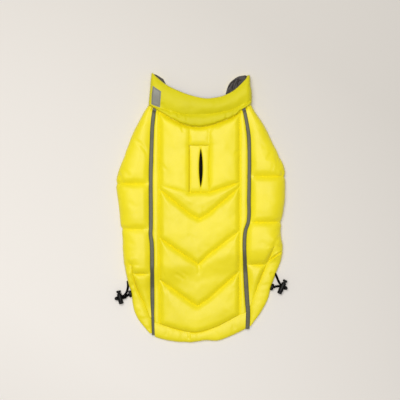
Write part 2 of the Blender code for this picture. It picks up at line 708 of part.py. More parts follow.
def build_hem(name, edges):
    """Padded casing, flat underneath, that comes down round at its outer edge."""
    inner_x, inner_y, outer_x, outer_y = edges
    shares = np.array([0.0, 0.15, 0.35, 0.6, 0.82, 0.95, 1.0])
    top = np.zeros((len(inner_x), len(shares), 3))
    low = np.zeros_like(top)
    for i in range(len(inner_x)):
        width = math.hypot(outer_x[i] - inner_x[i], outer_y[i] - inner_y[i])
        swell = PUFF_HEM * min(1.0, width / HEM_WIDTH)
        tuck = 1.0 - min(HEM_TUCK, 0.2 * width) / width
        for j, s in enumerate(shares):
            x = inner_x[i] + (outer_x[i] - inner_x[i]) * s
            y = inner_y[i] + (outer_y[i] - inner_y[i]) * s
            base = float(stitch_height(x, y))
            edge = HEM_EDGE * base
            z = edge + (base - edge) * math.sqrt(1.0 - s ** 4)
            top[i, j] = x, y, z + swell * max(0.0, math.sin(math.pi * min(1.0, s / HEM_CREST))) ** 0.7
            low[i, j] = (inner_x[i] + (outer_x[i] - inner_x[i]) * s * tuck,
                         inner_y[i] + (outer_y[i] - inner_y[i]) * s * tuck, 0.0)
    wall(name, "shell", top, low)


def build_strip(name, side):
    line = STRIP_LEFT if side < 0 else STRIP_RIGHT
    top_y = float(back_seam(line[0].x)) - 3 * SEAM_GAP
    end_y = line[-1].y
    rows = np.linspace(top_y, end_y, 46)
    across = np.array([-1.0, 1.0]) * (STRIP_WIDTH / 2)
    outer = np.zeros((len(rows), len(across), 3))
    for i, y in enumerate(rows):
        x = strip_line[side](y) + across
        end = np.full(2, y)
        if i == 0:
            for _ in range(4):
                end = back_seam(x) - NECK_GAP
                x = strip_line[side](end) + across
        outer[i] = np.stack((x, end, stitch_height(x, end) + STRIP_PROUD), axis=1)
    inner = outer.copy()
    inner[..., 2] -= STRIP_WALL
    wall(name, "reflective", outer, inner)


def collar_stations():
    """Round the ring: share across from the left fold, angle of the wall, and the front x."""
    stations = []
    for k in range(BACK_STATIONS + 1):
        stations.append((k / BACK_STATIONS, math.pi / 2, None))
    for k in range(1, ROLL_STATIONS):
        stations.append((1.0, math.pi / 2 - math.pi * k / ROLL_STATIONS, None))
    for x in reversed(FRONT_X):
        stations.append((None, -math.pi / 2, x))
    for k in range(1, ROLL_STATIONS):
        stations.append((0.0, -math.pi / 2 - math.pi * k / ROLL_STATIONS, None))
    return stations


def collar_levels(stitch):
    low = [stitch * k / COLLAR_LOW_ROWS for k in range(COLLAR_LOW_ROWS)]
    high = [stitch + (1 - stitch) * k / COLLAR_HIGH_ROWS for k in range(COLLAR_HIGH_ROWS + 1)]
    return low + high


def collar_fold(side, level):
    corner = NECK_CORNER_LEFT if side < 0 else NECK_CORNER_RIGHT
    tip = COLLAR_TIP_LEFT if side < 0 else COLLAR_TIP_RIGHT
    x = corner[0] + (tip[0] - corner[0]) * level
    if side > 0:
        x += COLLAR_BULGE * math.sin(math.pi * min(1.0, level / COLLAR_BULGE_END))
    return x


def collar_grid(depth, padded):
    """Grid of the collar ring, depth inside its outer face."""
    stations = collar_stations()
    rows = COLLAR_LOW_ROWS + COLLAR_HIGH_ROWS + 1
    grid = np.zeros((rows, len(stations), 3))
    middle = COLLAR_HEIGHT / 2
    for j, (share, angle, front_x) in enumerate(stations):
        up, out = math.sin(angle), abs(math.cos(angle))
        guess = front_x if front_x is not None else NECK_LEFT + NECK_SPAN * share
        stitch = float(collar_stitch(guess))
        for i, level in enumerate(collar_levels(stitch)):
            left = collar_fold(-1, level) + COLLAR_ROLL
            right = collar_fold(1, level) - COLLAR_ROLL
            if front_x is not None:
                x = left + (right - left) * (front_x - FRONT_LEFT) / FRONT_SPAN
            elif out < 1e-6:
                x = left + (right - left) * share
            else:
                side = 1 if share > 0.5 else -1
                x = (right if side > 0 else left) + side * (COLLAR_ROLL - depth) * out
            weight = (1 + up) / 2
            seam = float(neck_y(x, weight))
            top = float(front_top(x) + (back_top(x) - front_top(x)) * weight)
            y = seam + (top - seam) * level
            z = middle + (middle - depth) * up
            if padded and up > 0:
                cell = level / stitch if level < stitch else (level - stitch) / (1 - stitch)
                height = PUFF_COLLAR * (COLLAR_LOW_SHARE if level < stitch else 1.0)
                z += height * float(puff(cell)) * up
            if level > 0.99 and depth == 0.0:
                z -= COLLAR_EDGE * up
            grid[i, j] = x, y, z
    if depth == 0.0:
        under = grid[..., 2] < 0.3
        grid[under, 2] = 0.0
    return grid


def build_collar():
    outer = collar_grid(0.0, True)
    inner = collar_grid(WALL, False)
    wall("collar", "collar_shell", outer, inner, ring=True)
    build_collar_tab(outer)
    first = BACK_STATIONS + ROLL_STATIONS // 2
    last = first + ROLL_STATIONS + len(FRONT_X) - 1
    face = collar_grid(WALL + SEAM_GAP, False)[:, first:last + 1]
    back = collar_grid(WALL + SEAM_GAP + LINING_WALL, False)[:, first:last + 1]
    for grid in (face, back):
        grid[-1, :, 1] -= COLLAR_EDGE
    wall("collar_lining", "lining", face, back)


def build_collar_tab(outer):
    """Plain tab on the left end of the collar, made from the collar's points moved out."""
    columns = outer.shape[1]
    picks = [(columns - 1 + k) % columns for k in range(TAB_STATIONS)]
    patch = outer[TAB_ROWS[0]:TAB_ROWS[1], picks]
    down = np.gradient(patch, axis=0)
    across = np.gradient(patch, axis=1)
    normal = np.cross(across, down)
    normal /= np.linalg.norm(normal, axis=2, keepdims=True)
    normal *= np.sign(normal[..., 2:3])
    wall("collar_tab", "reflective", patch + normal * (SEAM_GAP + TAB_WALL), patch + normal * SEAM_GAP)


def turned(name, slot, profile, place, direction):
    """Solid of revolution; profile holds (radius, distance along the axis) pairs."""
    made = bmesh.new()
    rings = []
    for radius, along in profile:
        if radius == 0.0:
            rings.append([made.verts.new((0, 0, along * MM))])
            continue
        ring = []
        for k in range(ROUND_SIDES):
            angle = 2 * math.pi * k / ROUND_SIDES
            ring.append(made.verts.new((radius * math.cos(angle) * MM,
                                        radius * math.sin(angle) * MM, along * MM)))
        rings.append(ring)
    for a, b in zip(rings, rings[1:]):
        for k in range(ROUND_SIDES):
            n = (k + 1) % ROUND_SIDES
            corners = [a[k % len(a)], a[n % len(a)], b[n % len(b)], b[k % len(b)]]
            unique = list(dict.fromkeys(corners))
            made.faces.new(unique)
    bmesh.ops.recalc_face_normals(made, faces=made.faces)
    item = add_object(name, made, slot)
    turn = Vector((0, 0, 1)).rotation_difference(Vector(direction)).to_matrix().to_4x4()
    item.matrix_world = Matrix.Translation(Vector(place) * MM) @ turn
    return item


def build_lock(lock):
    """Cord lock: a barrel with a cord hole across it, and a button on a stem in its end."""
    top = Vector((lock.top_x, lock.top_y, CORD_Z))
    end = Vector((lock.end_x, lock.end_y, CORD_Z))
    axis = (end - top).normalized()
    barrel_at = top + axis * (LOCK_HEAD + LOCK_OPEN)
    length = (end - barrel_at).length
    profile = (
        (LOCK_BORE, 0.0), (LOCK_RADIUS - 0.5, 0.0), (LOCK_RADIUS, 0.6), (LOCK_RADIUS, length - 1.0),
        (LOCK_RADIUS - 0.9, length), (0.0, length),
    )
    bore = ((0.0, STEM_DEPTH + 0.5), (LOCK_BORE, STEM_DEPTH + 0.5))
    turned("lock_barrel_" + lock.side, "black_plastic", bore + profile, barrel_at, axis)
    button = (
        (0.0, 0.0), (LOCK_HEAD_RADIUS - 0.8, 0.0), (LOCK_HEAD_RADIUS, 0.8),
        (LOCK_HEAD_RADIUS, LOCK_HEAD), (LOCK_STEM, LOCK_HEAD),
        (LOCK_STEM, LOCK_HEAD + LOCK_OPEN + STEM_DEPTH), (0.0, LOCK_HEAD + LOCK_OPEN + STEM_DEPTH),
    )
    turned("lock_button_" + lock.side, "black_plastic", button, top, axis)
    away = Vector((-axis.y, axis.x, 0.0)) * lock.out
    reach = LOCK_RADIUS + SEAM_GAP + BEAD_RADIUS
    build_bead("cord_bead_" + lock.side, top + axis * CORD_HOLE_AT + away * reach)


def build_bead(name, place):
    """End bead of the cord, a small ball just outside the barrel."""
    rings = []
    for k in range(BEAD_RINGS + 1):
        angle = math.pi * k / BEAD_RINGS
        radius = 0.0 if k in (0, BEAD_RINGS) else BEAD_RADIUS * math.sin(angle)
        rings.append((radius, -BEAD_RADIUS * math.cos(angle)))
    turned(name, "black_plastic", rings, place, (0, 0, 1))


def build_eyelet(lock):
    """Oval eyelet on the edge of the hem, with the cord's hole through it."""
    made = bmesh.new()
    loops = []
    for face in (-1, 1):
        for scale in ("rim", "hole"):
            ring = []
            for k in range(EYELET_SIDES):
                angle = 2 * math.pi * k / EYELET_SIDES
                if scale == "rim":
                    along = EYELET_LENGTH / 2 * math.cos(angle)
                    up = EYELET_HEIGHT / 2 * math.sin(angle)
                else:
                    along = EYELET_HOLE / 2 * math.cos(angle)
                    up = EYELET_HOLE / 2 * math.sin(angle)
                ring.append(made.verts.new((face * EYELET_WALL / 2 * MM, along * MM, up * MM)))
            loops.append(ring)
    order = (loops[0], loops[2], loops[3], loops[1])
    for a, b in zip(order, order[1:] + order[:1]):
        for k in range(EYELET_SIDES):
            n = (k + 1) % EYELET_SIDES
            made.faces.new((a[k], a[n], b[n], b[k]))
    bmesh.ops.recalc_face_normals(made, faces=made.faces)
    item = add_object("eyelet_" + lock.side, made, "black_plastic")
    place = Vector((lock.eyelet_x, lock.eyelet_y, EYELET_HEIGHT / 2 + 0.1)) * MM
    item.matrix_world = Matrix.Translation(place) @ Matrix.Rotation(math.radians(lock.eyelet_turn), 4, "Z")


def build_cord(name, stops):
    keys = np.arange(len(stops))
    at = np.linspace(0, len(stops) - 1, CORD_STEPS)
    line = [smooth_curve(keys, [getattr(s, f) for s in stops])(at) for f in Stop._fields]
    data = bpy.data.curves.new(name, "CURVE")
    data.dimensions = "3D"
    data.bevel_depth = CORD / 2 * MM
    data.bevel_resolution = 2
    data.use_fill_caps = True
    spline = data.splines.new("POLY")
    spline.points.add(CORD_STEPS - 1)
    for point, x, y, z in zip(spline.points, *line):
        point.co = (x * MM, y * MM, z * MM, 1.0)
    data.materials.append(material("black_cord"))
    item = bpy.data.objects.new(name, data)
    bpy.context.collection.objects.link(item)


def build():
    clear_scene()
    build_back()
    build_placket()
    build_side("side_left", -1)
    build_side("side_right", 1)
    build_belly()
    build_hem("hem_left", side_casing(-1, HEM_LEFT))
    build_hem("hem_right", side_casing(1, HEM_RIGHT))
    build_hem("hem_centre", centre_casing())
    build_strip("strip_left", -1)
    build_strip("strip_right", 1)
    build_collar()
    for lock in LOCKS:
        build_lock(lock)
        build_eyelet(lock)
    for name, stops in CORD_ROUTES.items():
        build_cord(name, stops)


build()
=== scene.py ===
import math
from collections import namedtuple

import bpy
import numpy as np
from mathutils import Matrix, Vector


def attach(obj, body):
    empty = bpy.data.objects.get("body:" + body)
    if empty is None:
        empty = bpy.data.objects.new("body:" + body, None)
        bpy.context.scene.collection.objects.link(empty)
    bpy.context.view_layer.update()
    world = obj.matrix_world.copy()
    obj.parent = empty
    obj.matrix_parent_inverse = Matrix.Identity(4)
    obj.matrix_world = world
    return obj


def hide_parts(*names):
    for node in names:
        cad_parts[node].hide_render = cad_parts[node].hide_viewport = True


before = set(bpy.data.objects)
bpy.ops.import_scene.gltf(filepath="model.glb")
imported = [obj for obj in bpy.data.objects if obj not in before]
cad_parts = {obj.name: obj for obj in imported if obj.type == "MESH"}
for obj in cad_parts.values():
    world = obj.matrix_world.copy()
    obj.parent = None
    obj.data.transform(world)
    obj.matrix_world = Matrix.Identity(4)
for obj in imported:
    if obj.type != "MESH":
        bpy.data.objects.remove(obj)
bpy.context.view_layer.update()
MM = 0.001

# Sizes in millimetres; x to the right, y towards the collar, z up
WALL = 4.5
BELLY_WALL = 5
SEAM_GAP = 0.01
NECK_GAP = -0.6
LINING_WALL = 1
STRIP_WALL = 2
STRIP_PROUD = 0.5
# Height of the space inside, and where it changes
LIFT_MIDDLE, LIFT_SIDE, SIDE_REACH = 7.5, 9, 110
LIFT_NECK, NECK_LIFT_START, NECK_LIFT_END = 4, 90, 150
FLAP_SKEW, FLAP_TOP, FLAP_END = 0.176, -78, -118
BELLY_REAR = -74
# Rise of the padding over the stitch lines, and what draws it down
PUFF_BACK, PUFF_SIDE, PUFF_BAND, PUFF_HEM = 7.2, 7.2, 1.5, 3.2
PUFF_COLLAR, PUFF_LIP, PLACKET_RISE = 4.5, 2.4, 3
COLLAR_PUFFS = (0.75, 1.2)                 # below and above the collar's stitch line
QUILT_ROUND = 8.5
CHANNEL_SHARE = 0.88
BORDER_SINK = -0.6
NECK_SINK, NECK_REACH = 3.2, 4.5
# Folds and edges
ROLL, ROLL_TOP = 14, 26                    # width of the turn below and over the top
FOLD_WIDEST, HEM_LOW = 0.32, 0.12          # share of the height at which they are widest
OPEN_RISE = 2.8
HEM_WIDTH, HEM_TUCK = 12, 1.2
COLLAR_HANG, COLLAR_ROLL, COLLAR_HEIGHT = 3, 8, 17.5
PLACKET_LEFT, PLACKET_RIGHT = -17.4, 13.9
PLACKET_TOP, PLACKET_BOTTOM = 99.8, 24.8
SLIT_X, SLIT_TOP, SLIT_BOTTOM = 0.4, 94.7, 33.4
SLIT_HALF, SLIT_END_HALF = 3, 0.35
NECK_CORNER = {-1: (-83.4, 164), 1: (81, 165.5)}
COLLAR_TIP = {-1: (-78.4, 216.3), 1: (78.6, 213)}
COLLAR_BULGE = 1.6
CORD = 3.6
CORD_Z = 4
LOCK_RADIUS, LOCK_BORE, LOCK_STEM = 3.9, 2.4, 2.1
LOCK_HEAD_RADIUS, LOCK_HEAD, LOCK_OPEN = 3.7, 3.4, 1.8
STEM_DEPTH, CORD_HOLE_AT = 4.2, 11.7
TURNED_SIDES = 40
BEAD_RADIUS = 2.4
EYELET_LENGTH, EYELET_HEIGHT, EYELET_WALL, EYELET_HOLE = 11, 7.4, 4.8, 3.6
BORDER_LEFT, BORDER_RIGHT = -65.9, 62.6
EDGE_STITCH = 0.6
SHARP_CLOTH, SHARP_PLASTIC = 48, 38  # degrees between faces
CREASE_BOW, CREASE_SHOULDER = 0.06, 0.25

Row = namedtuple("Row", "border_left placket_left apex_x apex_y placket_right border_right steps")
Lock = namedtuple("Lock", "side out top_x top_y end_x end_y eyelet_x eyelet_y eyelet_turn")

# Seen from above, as (x, y)
OUTLINE = {
    -1: ((-83.4, 163.7), (-89.4, 155.2), (-100, 136), (-109.8, 116.3), (-124, 77.6),
         (-132.2, 57.3), (-135.4, 36.8), (-132.2, 14.4), (-129.1, -16.5), (-125.1, -47),
         (-124, -77.6), (-121, -98.1)),
    1: ((81, 165.2), (86.6, 155.2), (102.4, 130.7), (114.7, 106.2), (125.5, 83.7),
        (133.1, 67.4), (135.4, 50), (134.1, 4), (130, -20.5), (129, -47),
        (132, -61.3), (131, -77.6)),
}
STRIP = {
    -1: ((-73.1, 160), (-76.2, 134.7), (-78.1, 93.9), (-79.2, 53.1), (-79.2, -32),
         (-79.6, -41), (-77.8, -57.3), (-77.1, -98.1), (-77.1, -139), (-76.6, -171.5),
         (-75.4, -204)),
    1: ((68.8, 160), (73.9, 134.7), (77, 114.4), (77.9, 83.7), (77.2, 14.4), (76.2, -22.6),
        (71.8, -36), (70, -57.3), (71.2, -87.8), (74.3, -139), (76.2, -170),
        (75.2, -194)),
}
HEM_SEAM = {
    -1: ((-109.9, -90), (-109.2, -98.1), (-101.6, -128.6), (-91.4, -151), (-84.6, -166),
         (-81.4, -175), (-79.8, -186)),
    1: ((118, -60), (111, -77.6), (100.5, -102), (90.2, -128.6), (83.4, -147),
        (80.6, -157), (79.4, -168)),
}
QUILT = (
    Row(153.5, 131.4, -1.8, 129.3, 131.8, 154.3, 22),
    Row(99.8, 99.8, -1.8, 99.8, 99.8, 99.8, 52),
    Row(37, 24.8, -1.8, 24.8, 24.8, 41, 32),
    Row(30.5, -9.5, -2.4, -17.5, -8, 34, 50),
    Row(-47, -80.5, -3.7, -90, -73.5, -36, 48),
    Row(-115, -149.5, -5.2, -157.5, -145, -101, 34),
    Row(-185.2, -198.5, -5.2, -199, -194.5, -170.5, 0),
)
QUILT_DEPTHS = (0.75, 0.8, 0.92, 0.92)  # share of the padding that each row draws down
BACK_COLUMNS = (6, 36, 12, 12, 36, 7)

# Hem casings as (seam y, outer x, outer y) at the sides and (inner x, y, outer x, y) between
HEM_SIDE = {
    -1: ((-91.6, -122, -91.6), (-110, -118.6, -110), (-128.6, -114.2, -127),
         (-137.5, -111.2, -137.5), (-151, -109.6, -152.5), (-166.5, -106.2, -167),
         (-180, -98.2, -182), (-192, -88, -195), (-200.6, -81.8, -201.4)),
    1: ((-61.6, 131.9, -61.6), (-77.6, 131, -78), (-90, 128.2, -90),
        (-102, 122.4, -102), (-119, 117.2, -117), (-130, 113.2, -127.5),
        (-147, 108.8, -146.5), (-164, 98, -166), (-178, 88.2, -179.8),
        (-189, 81.4, -189.6)),
}
HEM_CENTRE = (
    (-71, -183.6, -71.4, -207.2), (-58, -188.2, -60, -211.4), (-40, -193.8, -42, -215),
    (-20, -198.6, -20, -216.4), (-5.2, -199.4, -5.2, -214.8), (12.6, -195, 12.6, -213),
    (27, -189.6, 27, -213.9), (45, -180.6, 45, -207.6), (60, -172.4, 60, -200.6),
    (72.4, -167.4, 71.2, -195.2),
)
SIDE_TOP_STITCH = 164
SIDE_STITCHES = {-1: (38.9, -33.8, -105.3), 1: (50.7, -22.6, -90.9)}
SIDE_OPEN = {-1: -91.6, 1: -61.6}          # y where the belly hem leaves the fold open
SIDE_END = {-1: -176, 1: -157}
SIDE_START = 161
FLANGE = (
    (72.4, 172), (72.4, 155), (72.6, 138), (72.8, 121), (72.6, 108), (72.8, 99),
    (76, 90), (89, 76), (92.5, 56), (89, 36), (76, 22), (74, 8),
    (74, -96),
)
BELLY_GAP = 0.05
LEG_CUT = (
    (0, 104), (3, 98), (8, 90), (32, 76), (39, 56), (32, 36),
    (8, 22), (3, 14), (0, 8),
)
BACK_SEAM = (
    (-83.4, 164), (-69, 155.4), (-46.6, 142.9), (-28.2, 134.2), (-7.7, 129.9), (12.6, 131.7),
    (35, 138.9), (55.5, 148), (66, 156.6), (81, 165.5),
)
BACK_TOP = (
    (-78.4, 216.3), (-54.7, 197), (-36, 187.6), (-17.9, 180.8), (8.6, 175), (24, 176.4),
    (39.2, 180.4), (55.5, 189.6), (68, 201.5), (78.6, 213),
)
FRONT_SEAM = (
    (-83.4, 164), (-72, 150), (-60, 136), (-46, 121), (-30, 108.5), (0, 100),
    (30, 108.5), (46, 121), (60, 136), (71, 150), (81, 165.5),
)
FRONT_TOP = (
    (-78.4, 216.3), (-69, 213), (-60.8, 208.2), (-55.5, 198), (-50, 186),
    (-42, 169), (-30, 153), (0, 143), (25, 150), (36, 166), (40.2, 182),
    (44, 195), (53.6, 206.4), (63.7, 211.8), (78.6, 213),
)
COLLAR_STITCH = (
    (-83.4, 0.12), (-70, 0.17), (-38.4, 0.27), (2.4, 0.41), (43.4, 0.33), (71.2, 0.2),
    (81, 0.15),
)
FRONT_X = (-64, -59, -54, -48, -40, -30, -16, 0,
           15, 26, 34, 39.5, 44, 50, 57, 64)
LOCKS = (
    Lock("left", -1, -131.7, -132.6, -127, -153.8, -112.8, -137.8, 10.8),
    Lock("right", 1, 136.5, -115.5, 126.2, -137.4, 114.8, -126.9, -20.5),
)
# Cord from the hem to the lock, and from the lock to the eyelet
CORD_ROUTES = {
    "left": (
        ((-116.9, -117, 3.4), (-116.6, -119.6, 2.9), (-116.4, -123, 2.2),
         (-116.7, -127.5, 1.9), (-117.6, -132, 2), (-119.2, -136.2, 2.3),
         (-121.4, -139.4, 3), (-123.8, -141.1, 3.7), (-125.85, -141.7, 4)),
        ((-125.2, -144.6, 4), (-123, -144.4, 3.8), (-120.6, -143.4, 3.4),
         (-118.2, -141, 3.3), (-114.9, -138.4, 3.5)),
    ),
    "right": (
        ((119.4, -104.6, 3.6), (120.8, -107.2, 3.3), (122.2, -110.2, 2.5), (123.6, -113.6, 2),
         (125, -117, 2.1), (126.4, -119.8, 2.8), (127.7, -121.8, 3.6), (128.8, -123, 4)),
        ((127.6, -125.8, 4), (125.2, -125.4, 3.7), (122.4, -125.6, 3.3), (119.6, -126.4, 3.3),
         (117, -127.2, 3.5)),
    ),
}


# Camera straight above, its frame 640 mm wide at the height of the coat's sides
def place_camera():
    data = bpy.data.cameras.new("camera")
    data.lens = 85
    data.sensor_width = 36
    camera = bpy.data.objects.new("camera", data)
    bpy.context.collection.objects.link(camera)
    camera.location = (-0.0008, 0.0128, 1.519)
    bpy.context.scene.camera = camera


# Curves, noise and relief
NOISE_CELLS = 64


def smooth_curve(keys, values):
    """Cubic curve through the given values that keeps the slope between its neighbours."""
    order = np.argsort(keys)
    k = np.asarray(keys, float)[order]
    v = np.asarray(values, float)[order]
    step = np.diff(v) / np.diff(k)
    slope = np.concatenate(([step[0]], (step[:-1] + step[1:]) / 2, [step[-1]]))

    def at(key):
        key = np.clip(np.asarray(key, float), k[0], k[-1])
        i = np.clip(np.searchsorted(k, key) - 1, 0, len(k) - 2)
        width = k[i + 1] - k[i]
        t = (key - k[i]) / width
        rise = v[i + 1] - v[i]
        bend_a = slope[i] * width - rise
        bend_b = rise - slope[i + 1] * width
        return v[i] + rise * t + t * (1 - t) * (bend_a * (1 - t) + bend_b * t)

    return at


def x_by_y(points):
    return smooth_curve([p[1] for p in points], [p[0] for p in points])


def y_by_x(points):
    return smooth_curve([p[0] for p in points], [p[1] for p in points])


outline = {side: x_by_y(points) for side, points in OUTLINE.items()}
strip_line = {side: x_by_y(points) for side, points in STRIP.items()}
hem_seam = {side: x_by_y(points) for side, points in HEM_SEAM.items()}
flange_edge = x_by_y(FLANGE)
leg_cut = x_by_y(LEG_CUT)
back_seam = y_by_x(BACK_SEAM)
back_top = y_by_x(BACK_TOP)
front_seam = y_by_x(FRONT_SEAM)
front_top = y_by_x(FRONT_TOP)
collar_stitch = y_by_x(COLLAR_STITCH)
border_line = smooth_curve([p[0] for p in HEM_CENTRE], [p[1] for p in HEM_CENTRE])


def belly_edge(y):
    return flange_edge(y) - BELLY_GAP - np.maximum(leg_cut(y), 0)


def ease(value):
    value = np.clip(value, 0, 1)
    return value * value * (3 - 2 * value)


def inside_height(x, y):
    across = np.minimum(np.abs(x) / SIDE_REACH, 1) ** 2
    lift = LIFT_MIDDLE + (LIFT_SIDE - LIFT_MIDDLE) * across
    lift = lift + LIFT_NECK * ease((y - NECK_LIFT_START) / (NECK_LIFT_END - NECK_LIFT_START))
    return lift * ease((y - FLAP_SKEW * x - FLAP_END) / (FLAP_TOP - FLAP_END))


def stitch_height(x, y):
    return inside_height(x, y) + WALL


def puff(t, power):
    """Cross-section of a padded cell between two stitch lines, 0 at both and 1 halfway."""
    return np.clip(4 * t * (1 - t), 0, 1) ** power


def border_puff(distance, width):
    """Rise of the padding beside one stitch line."""
    return np.clip(1 - (1 - np.clip(distance / width, 0, 1)) ** 2, 0, 1) ** 0.75


def pillow(distance, width):
    """Rise of the padding beside a stitch line, level from width on."""
    return 1 - (1 - np.clip(distance / width, 0, 1)) ** 2


def noise(x, y, size, seed):
    """Smooth random field between -1 and 1 whose bumps are about size wide."""
    cells = NOISE_CELLS
    table = np.random.default_rng(seed).uniform(-1, 1, (cells, cells))
    u, v = np.asarray(x) / size, np.asarray(y) / size
    i, j = np.floor(u).astype(int), np.floor(v).astype(int)
    s, t = ease(u - i), ease(v - j)
    i, j, right, above = i % cells, j % cells, (i + 1) % cells, (j + 1) % cells
    a, b, c, d = table[i, j], table[right, j], table[i, above], table[right, above]
    return (a * (1 - s) + b * s) * (1 - t) + (c * (1 - s) + d * s) * t


def turned_noise(x, y, size, seed):
    """Two turned layers of noise, so that its lattice doesn't show."""
    c, s = math.cos(0.6 + seed), math.sin(0.6 + seed)
    first = noise(c * x - s * y, s * x + c * y, size, seed)
    return 0.7 * first + 0.45 * noise(c * x + s * y, c * y - s * x, size * 0.57, seed + 50)


def layers(x, y, *parts):
    """Sum of turned noise fields, each given as (height, size, seed)."""
    return sum(height * turned_noise(x, y, size, seed) for height, size, seed in parts)


def crease_field(x, y, creases):
    """Soft valleys along short lines (x0, y0, x1, y1, depth, width), positive where cloth sinks."""
    total = np.zeros_like(x)
    for x0, y0, x1, y1, depth, width in creases:
        dx, dy = x1 - x0, y1 - y0
        length = math.hypot(dx, dy)
        along = ((x - x0) * dx + (y - y0) * dy) / length ** 2
        bow = CREASE_BOW * length * np.sin(math.pi * np.clip(along, 0, 1))
        across = ((x - x0) * dy - (y - y0) * dx) / length + bow
        beyond = np.maximum(np.maximum(-along, along - 1), 0) * length / (2 * width)
        fade = np.clip(4.2 * (along + 0.06) * (1.06 - along), 0, 1) ** 0.6
        total += depth * np.exp(-(across / width) ** 2 - beyond ** 2) * fade
        shoulder = np.exp(-((np.abs(across) - 1.9 * width) / width) ** 2)
        total -= CREASE_SHOULDER * depth * shoulder * fade
    return total


def line_field(x, y, line):
    """Distance to a polyline and the place along it of the nearest point."""
    line = np.asarray(line, float)
    best = np.full(x.shape, np.inf)
    along = np.zeros_like(x)
    start = 0
    for a, b in zip(line, line[1:]):
        step = b - a
        length = math.hypot(*step[:2])
        if length < 1e-6:
            continue
        t = np.clip(((x - a[0]) * step[0] + (y - a[1]) * step[1]) / length ** 2, 0, 1)
        distance = np.hypot(x - a[0] - step[0] * t, y - a[1] - step[1] * t)
        near = distance < best
        best = np.where(near, distance, best)
        along = np.where(near, start + t * length, along)
        start += length
    return best, along


def pucker_field(x, y, lines, size=0.55, reach=7, spacing=6, seed=1):
    """Small gathers across the stitch lines, strongest a few millimetres beside them."""
    total = np.zeros_like(x)
    for number, line in enumerate(lines):
        distance, along = line_field(x, y, line)
        wave = noise(along + 0.3 * distance, along * 0 + 7.3 * number, spacing, seed + number)
        uneven = 0.6 + 0.4 * noise(along, along * 0, 4 * spacing, seed + 90 + number)
        shape = (1 - np.exp(-(distance / 1.6) ** 2)) * np.exp(-distance / reach)
        total += size * wave * uneven * shape
    return total


# Meshes
FAR = 1e3  # farther than any point of the coat


def rounded(grid, normals, margin, drop, sides="nsew"):
    """Turns the border of an outer grid inwards over margin, by drop at the very edge."""
    near = []
    for axis, (first, last) in enumerate(("ns", "we")):
        steps = np.linalg.norm(np.diff(grid, axis=axis), axis=2).mean(axis=1 - axis)
        along = np.concatenate(([0], np.cumsum(steps)))
        from_first = along if first in sides else np.full(len(along), FAR)
        from_last = along[-1] - along if last in sides else np.full(len(along), FAR)
        near.append(np.minimum(from_first, from_last))
    near = np.minimum(near[0][:, None], near[1][None, :])
    share = 1 - np.sqrt(np.clip(1 - (1 - np.clip(near / margin, 0, 1)) ** 2, 0, 1))
    return grid - normals * (share * drop)[..., None]


def grid_normals(grid, ring=False):
    if ring:
        padded = np.concatenate((grid[:, -2:], grid, grid[:, :2]), axis=1)
        return grid_normals(padded)[:, 2:-2]
    normal = np.cross(np.gradient(grid, axis=1), np.gradient(grid, axis=0))
    length = np.linalg.norm(normal, axis=2, keepdims=True)
    return normal / np.maximum(length, 1e-9)


def facing(normals, index, direction):
    """Normals turned so that the one at index points along direction."""
    return normals * np.sign(np.dot(normals[index], direction))


def mesh_object(name, vertices, faces, slots, face_slots=None):
    data = bpy.data.meshes.new(name)
    data.from_pydata(np.asarray(vertices) * MM, [], faces)
    for slot_name in slots:
        data.materials.append(materials[slot_name])
    if face_slots is not None:
        data.polygons.foreach_set("material_index", np.asarray(face_slots, np.int32))
    data.polygons.foreach_set("use_smooth", np.ones(len(faces), bool))
    data.set_sharp_from_angle(angle=math.radians(SHARP_CLOTH))
    item = bpy.data.objects.new(name, data)
    bpy.context.collection.objects.link(item)
    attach(item, "root")
    return item


def closed_wall(name, slots, outer, inner, keep=None, ring=False):
    """Closed wall between two matching grids, cloth on its outer face and lining inside."""
    rows, columns = outer.shape[:2]
    cells = rows - 1, columns if ring else columns - 1
    keep = np.ones(cells, bool) if keep is None else keep
    size = rows * columns
    index = np.arange(size).reshape(rows, columns)
    if ring:
        index = np.concatenate((index, index[:, :1]), axis=1)
    a, b = index[:-1, :-1], index[1:, :-1]
    c, d = index[1:, 1:], index[:-1, 1:]
    quads = np.stack((a, b, c, d), axis=-1)
    top = quads[keep]
    low = top[:, ::-1] + size
    west = np.roll(keep, 1, axis=1) if ring else np.pad(keep, ((0, 0), (1, 0)))[:, :-1]
    east = np.roll(keep, -1, axis=1) if ring else np.pad(keep, ((0, 0), (0, 1)))[:, 1:]
    north = np.pad(keep, ((1, 0), (0, 0)))[:-1]
    south = np.pad(keep, ((0, 1), (0, 0)))[1:]
    rims = []
    for p, q, neighbour in ((a, b, west), (b, c, south), (c, d, east), (d, a, north)):
        first, second = p[keep & ~neighbour], q[keep & ~neighbour]
        rims.append(np.stack((second, first, first + size, second + size), axis=-1))
    faces = np.concatenate((top, low, *rims))
    vertices = np.concatenate((outer.reshape(-1, 3), inner.reshape(-1, 3)))
    used, faces = np.unique(faces, return_inverse=True)
    faces = faces.reshape(-1, 4)
    vertices = vertices[used]
    a, b, c, d = (vertices[faces[:, k]] for k in range(4))
    volume = sum(np.einsum("ij,ij->i", a, np.cross(p, q)) for p, q in ((b, c), (c, d)))
    if volume.sum() < 0:  # the faces look inwards
        faces = faces[:, ::-1]
    kinds = np.zeros(len(faces), int)
    if len(slots) > 1:
        kinds[len(top):len(top) + len(low)] = 1
    return mesh_object(name, vertices, faces.tolist(), slots, kinds)


def arc_lengths(points):
    steps = np.linalg.norm(np.diff(points, axis=0), axis=1)
    return np.concatenate(([0], np.cumsum(steps)))


def resample(points, spacing=None, count=None):
    points = np.asarray(points, float)
    reach = arc_lengths(points)
    if count is None:
        count = max(2, int(round(reach[-1] / spacing)) + 1)
    at = np.linspace(0, reach[-1], count)
    return np.stack([np.interp(at, reach, points[:, k]) for k in range(3)], axis=1)


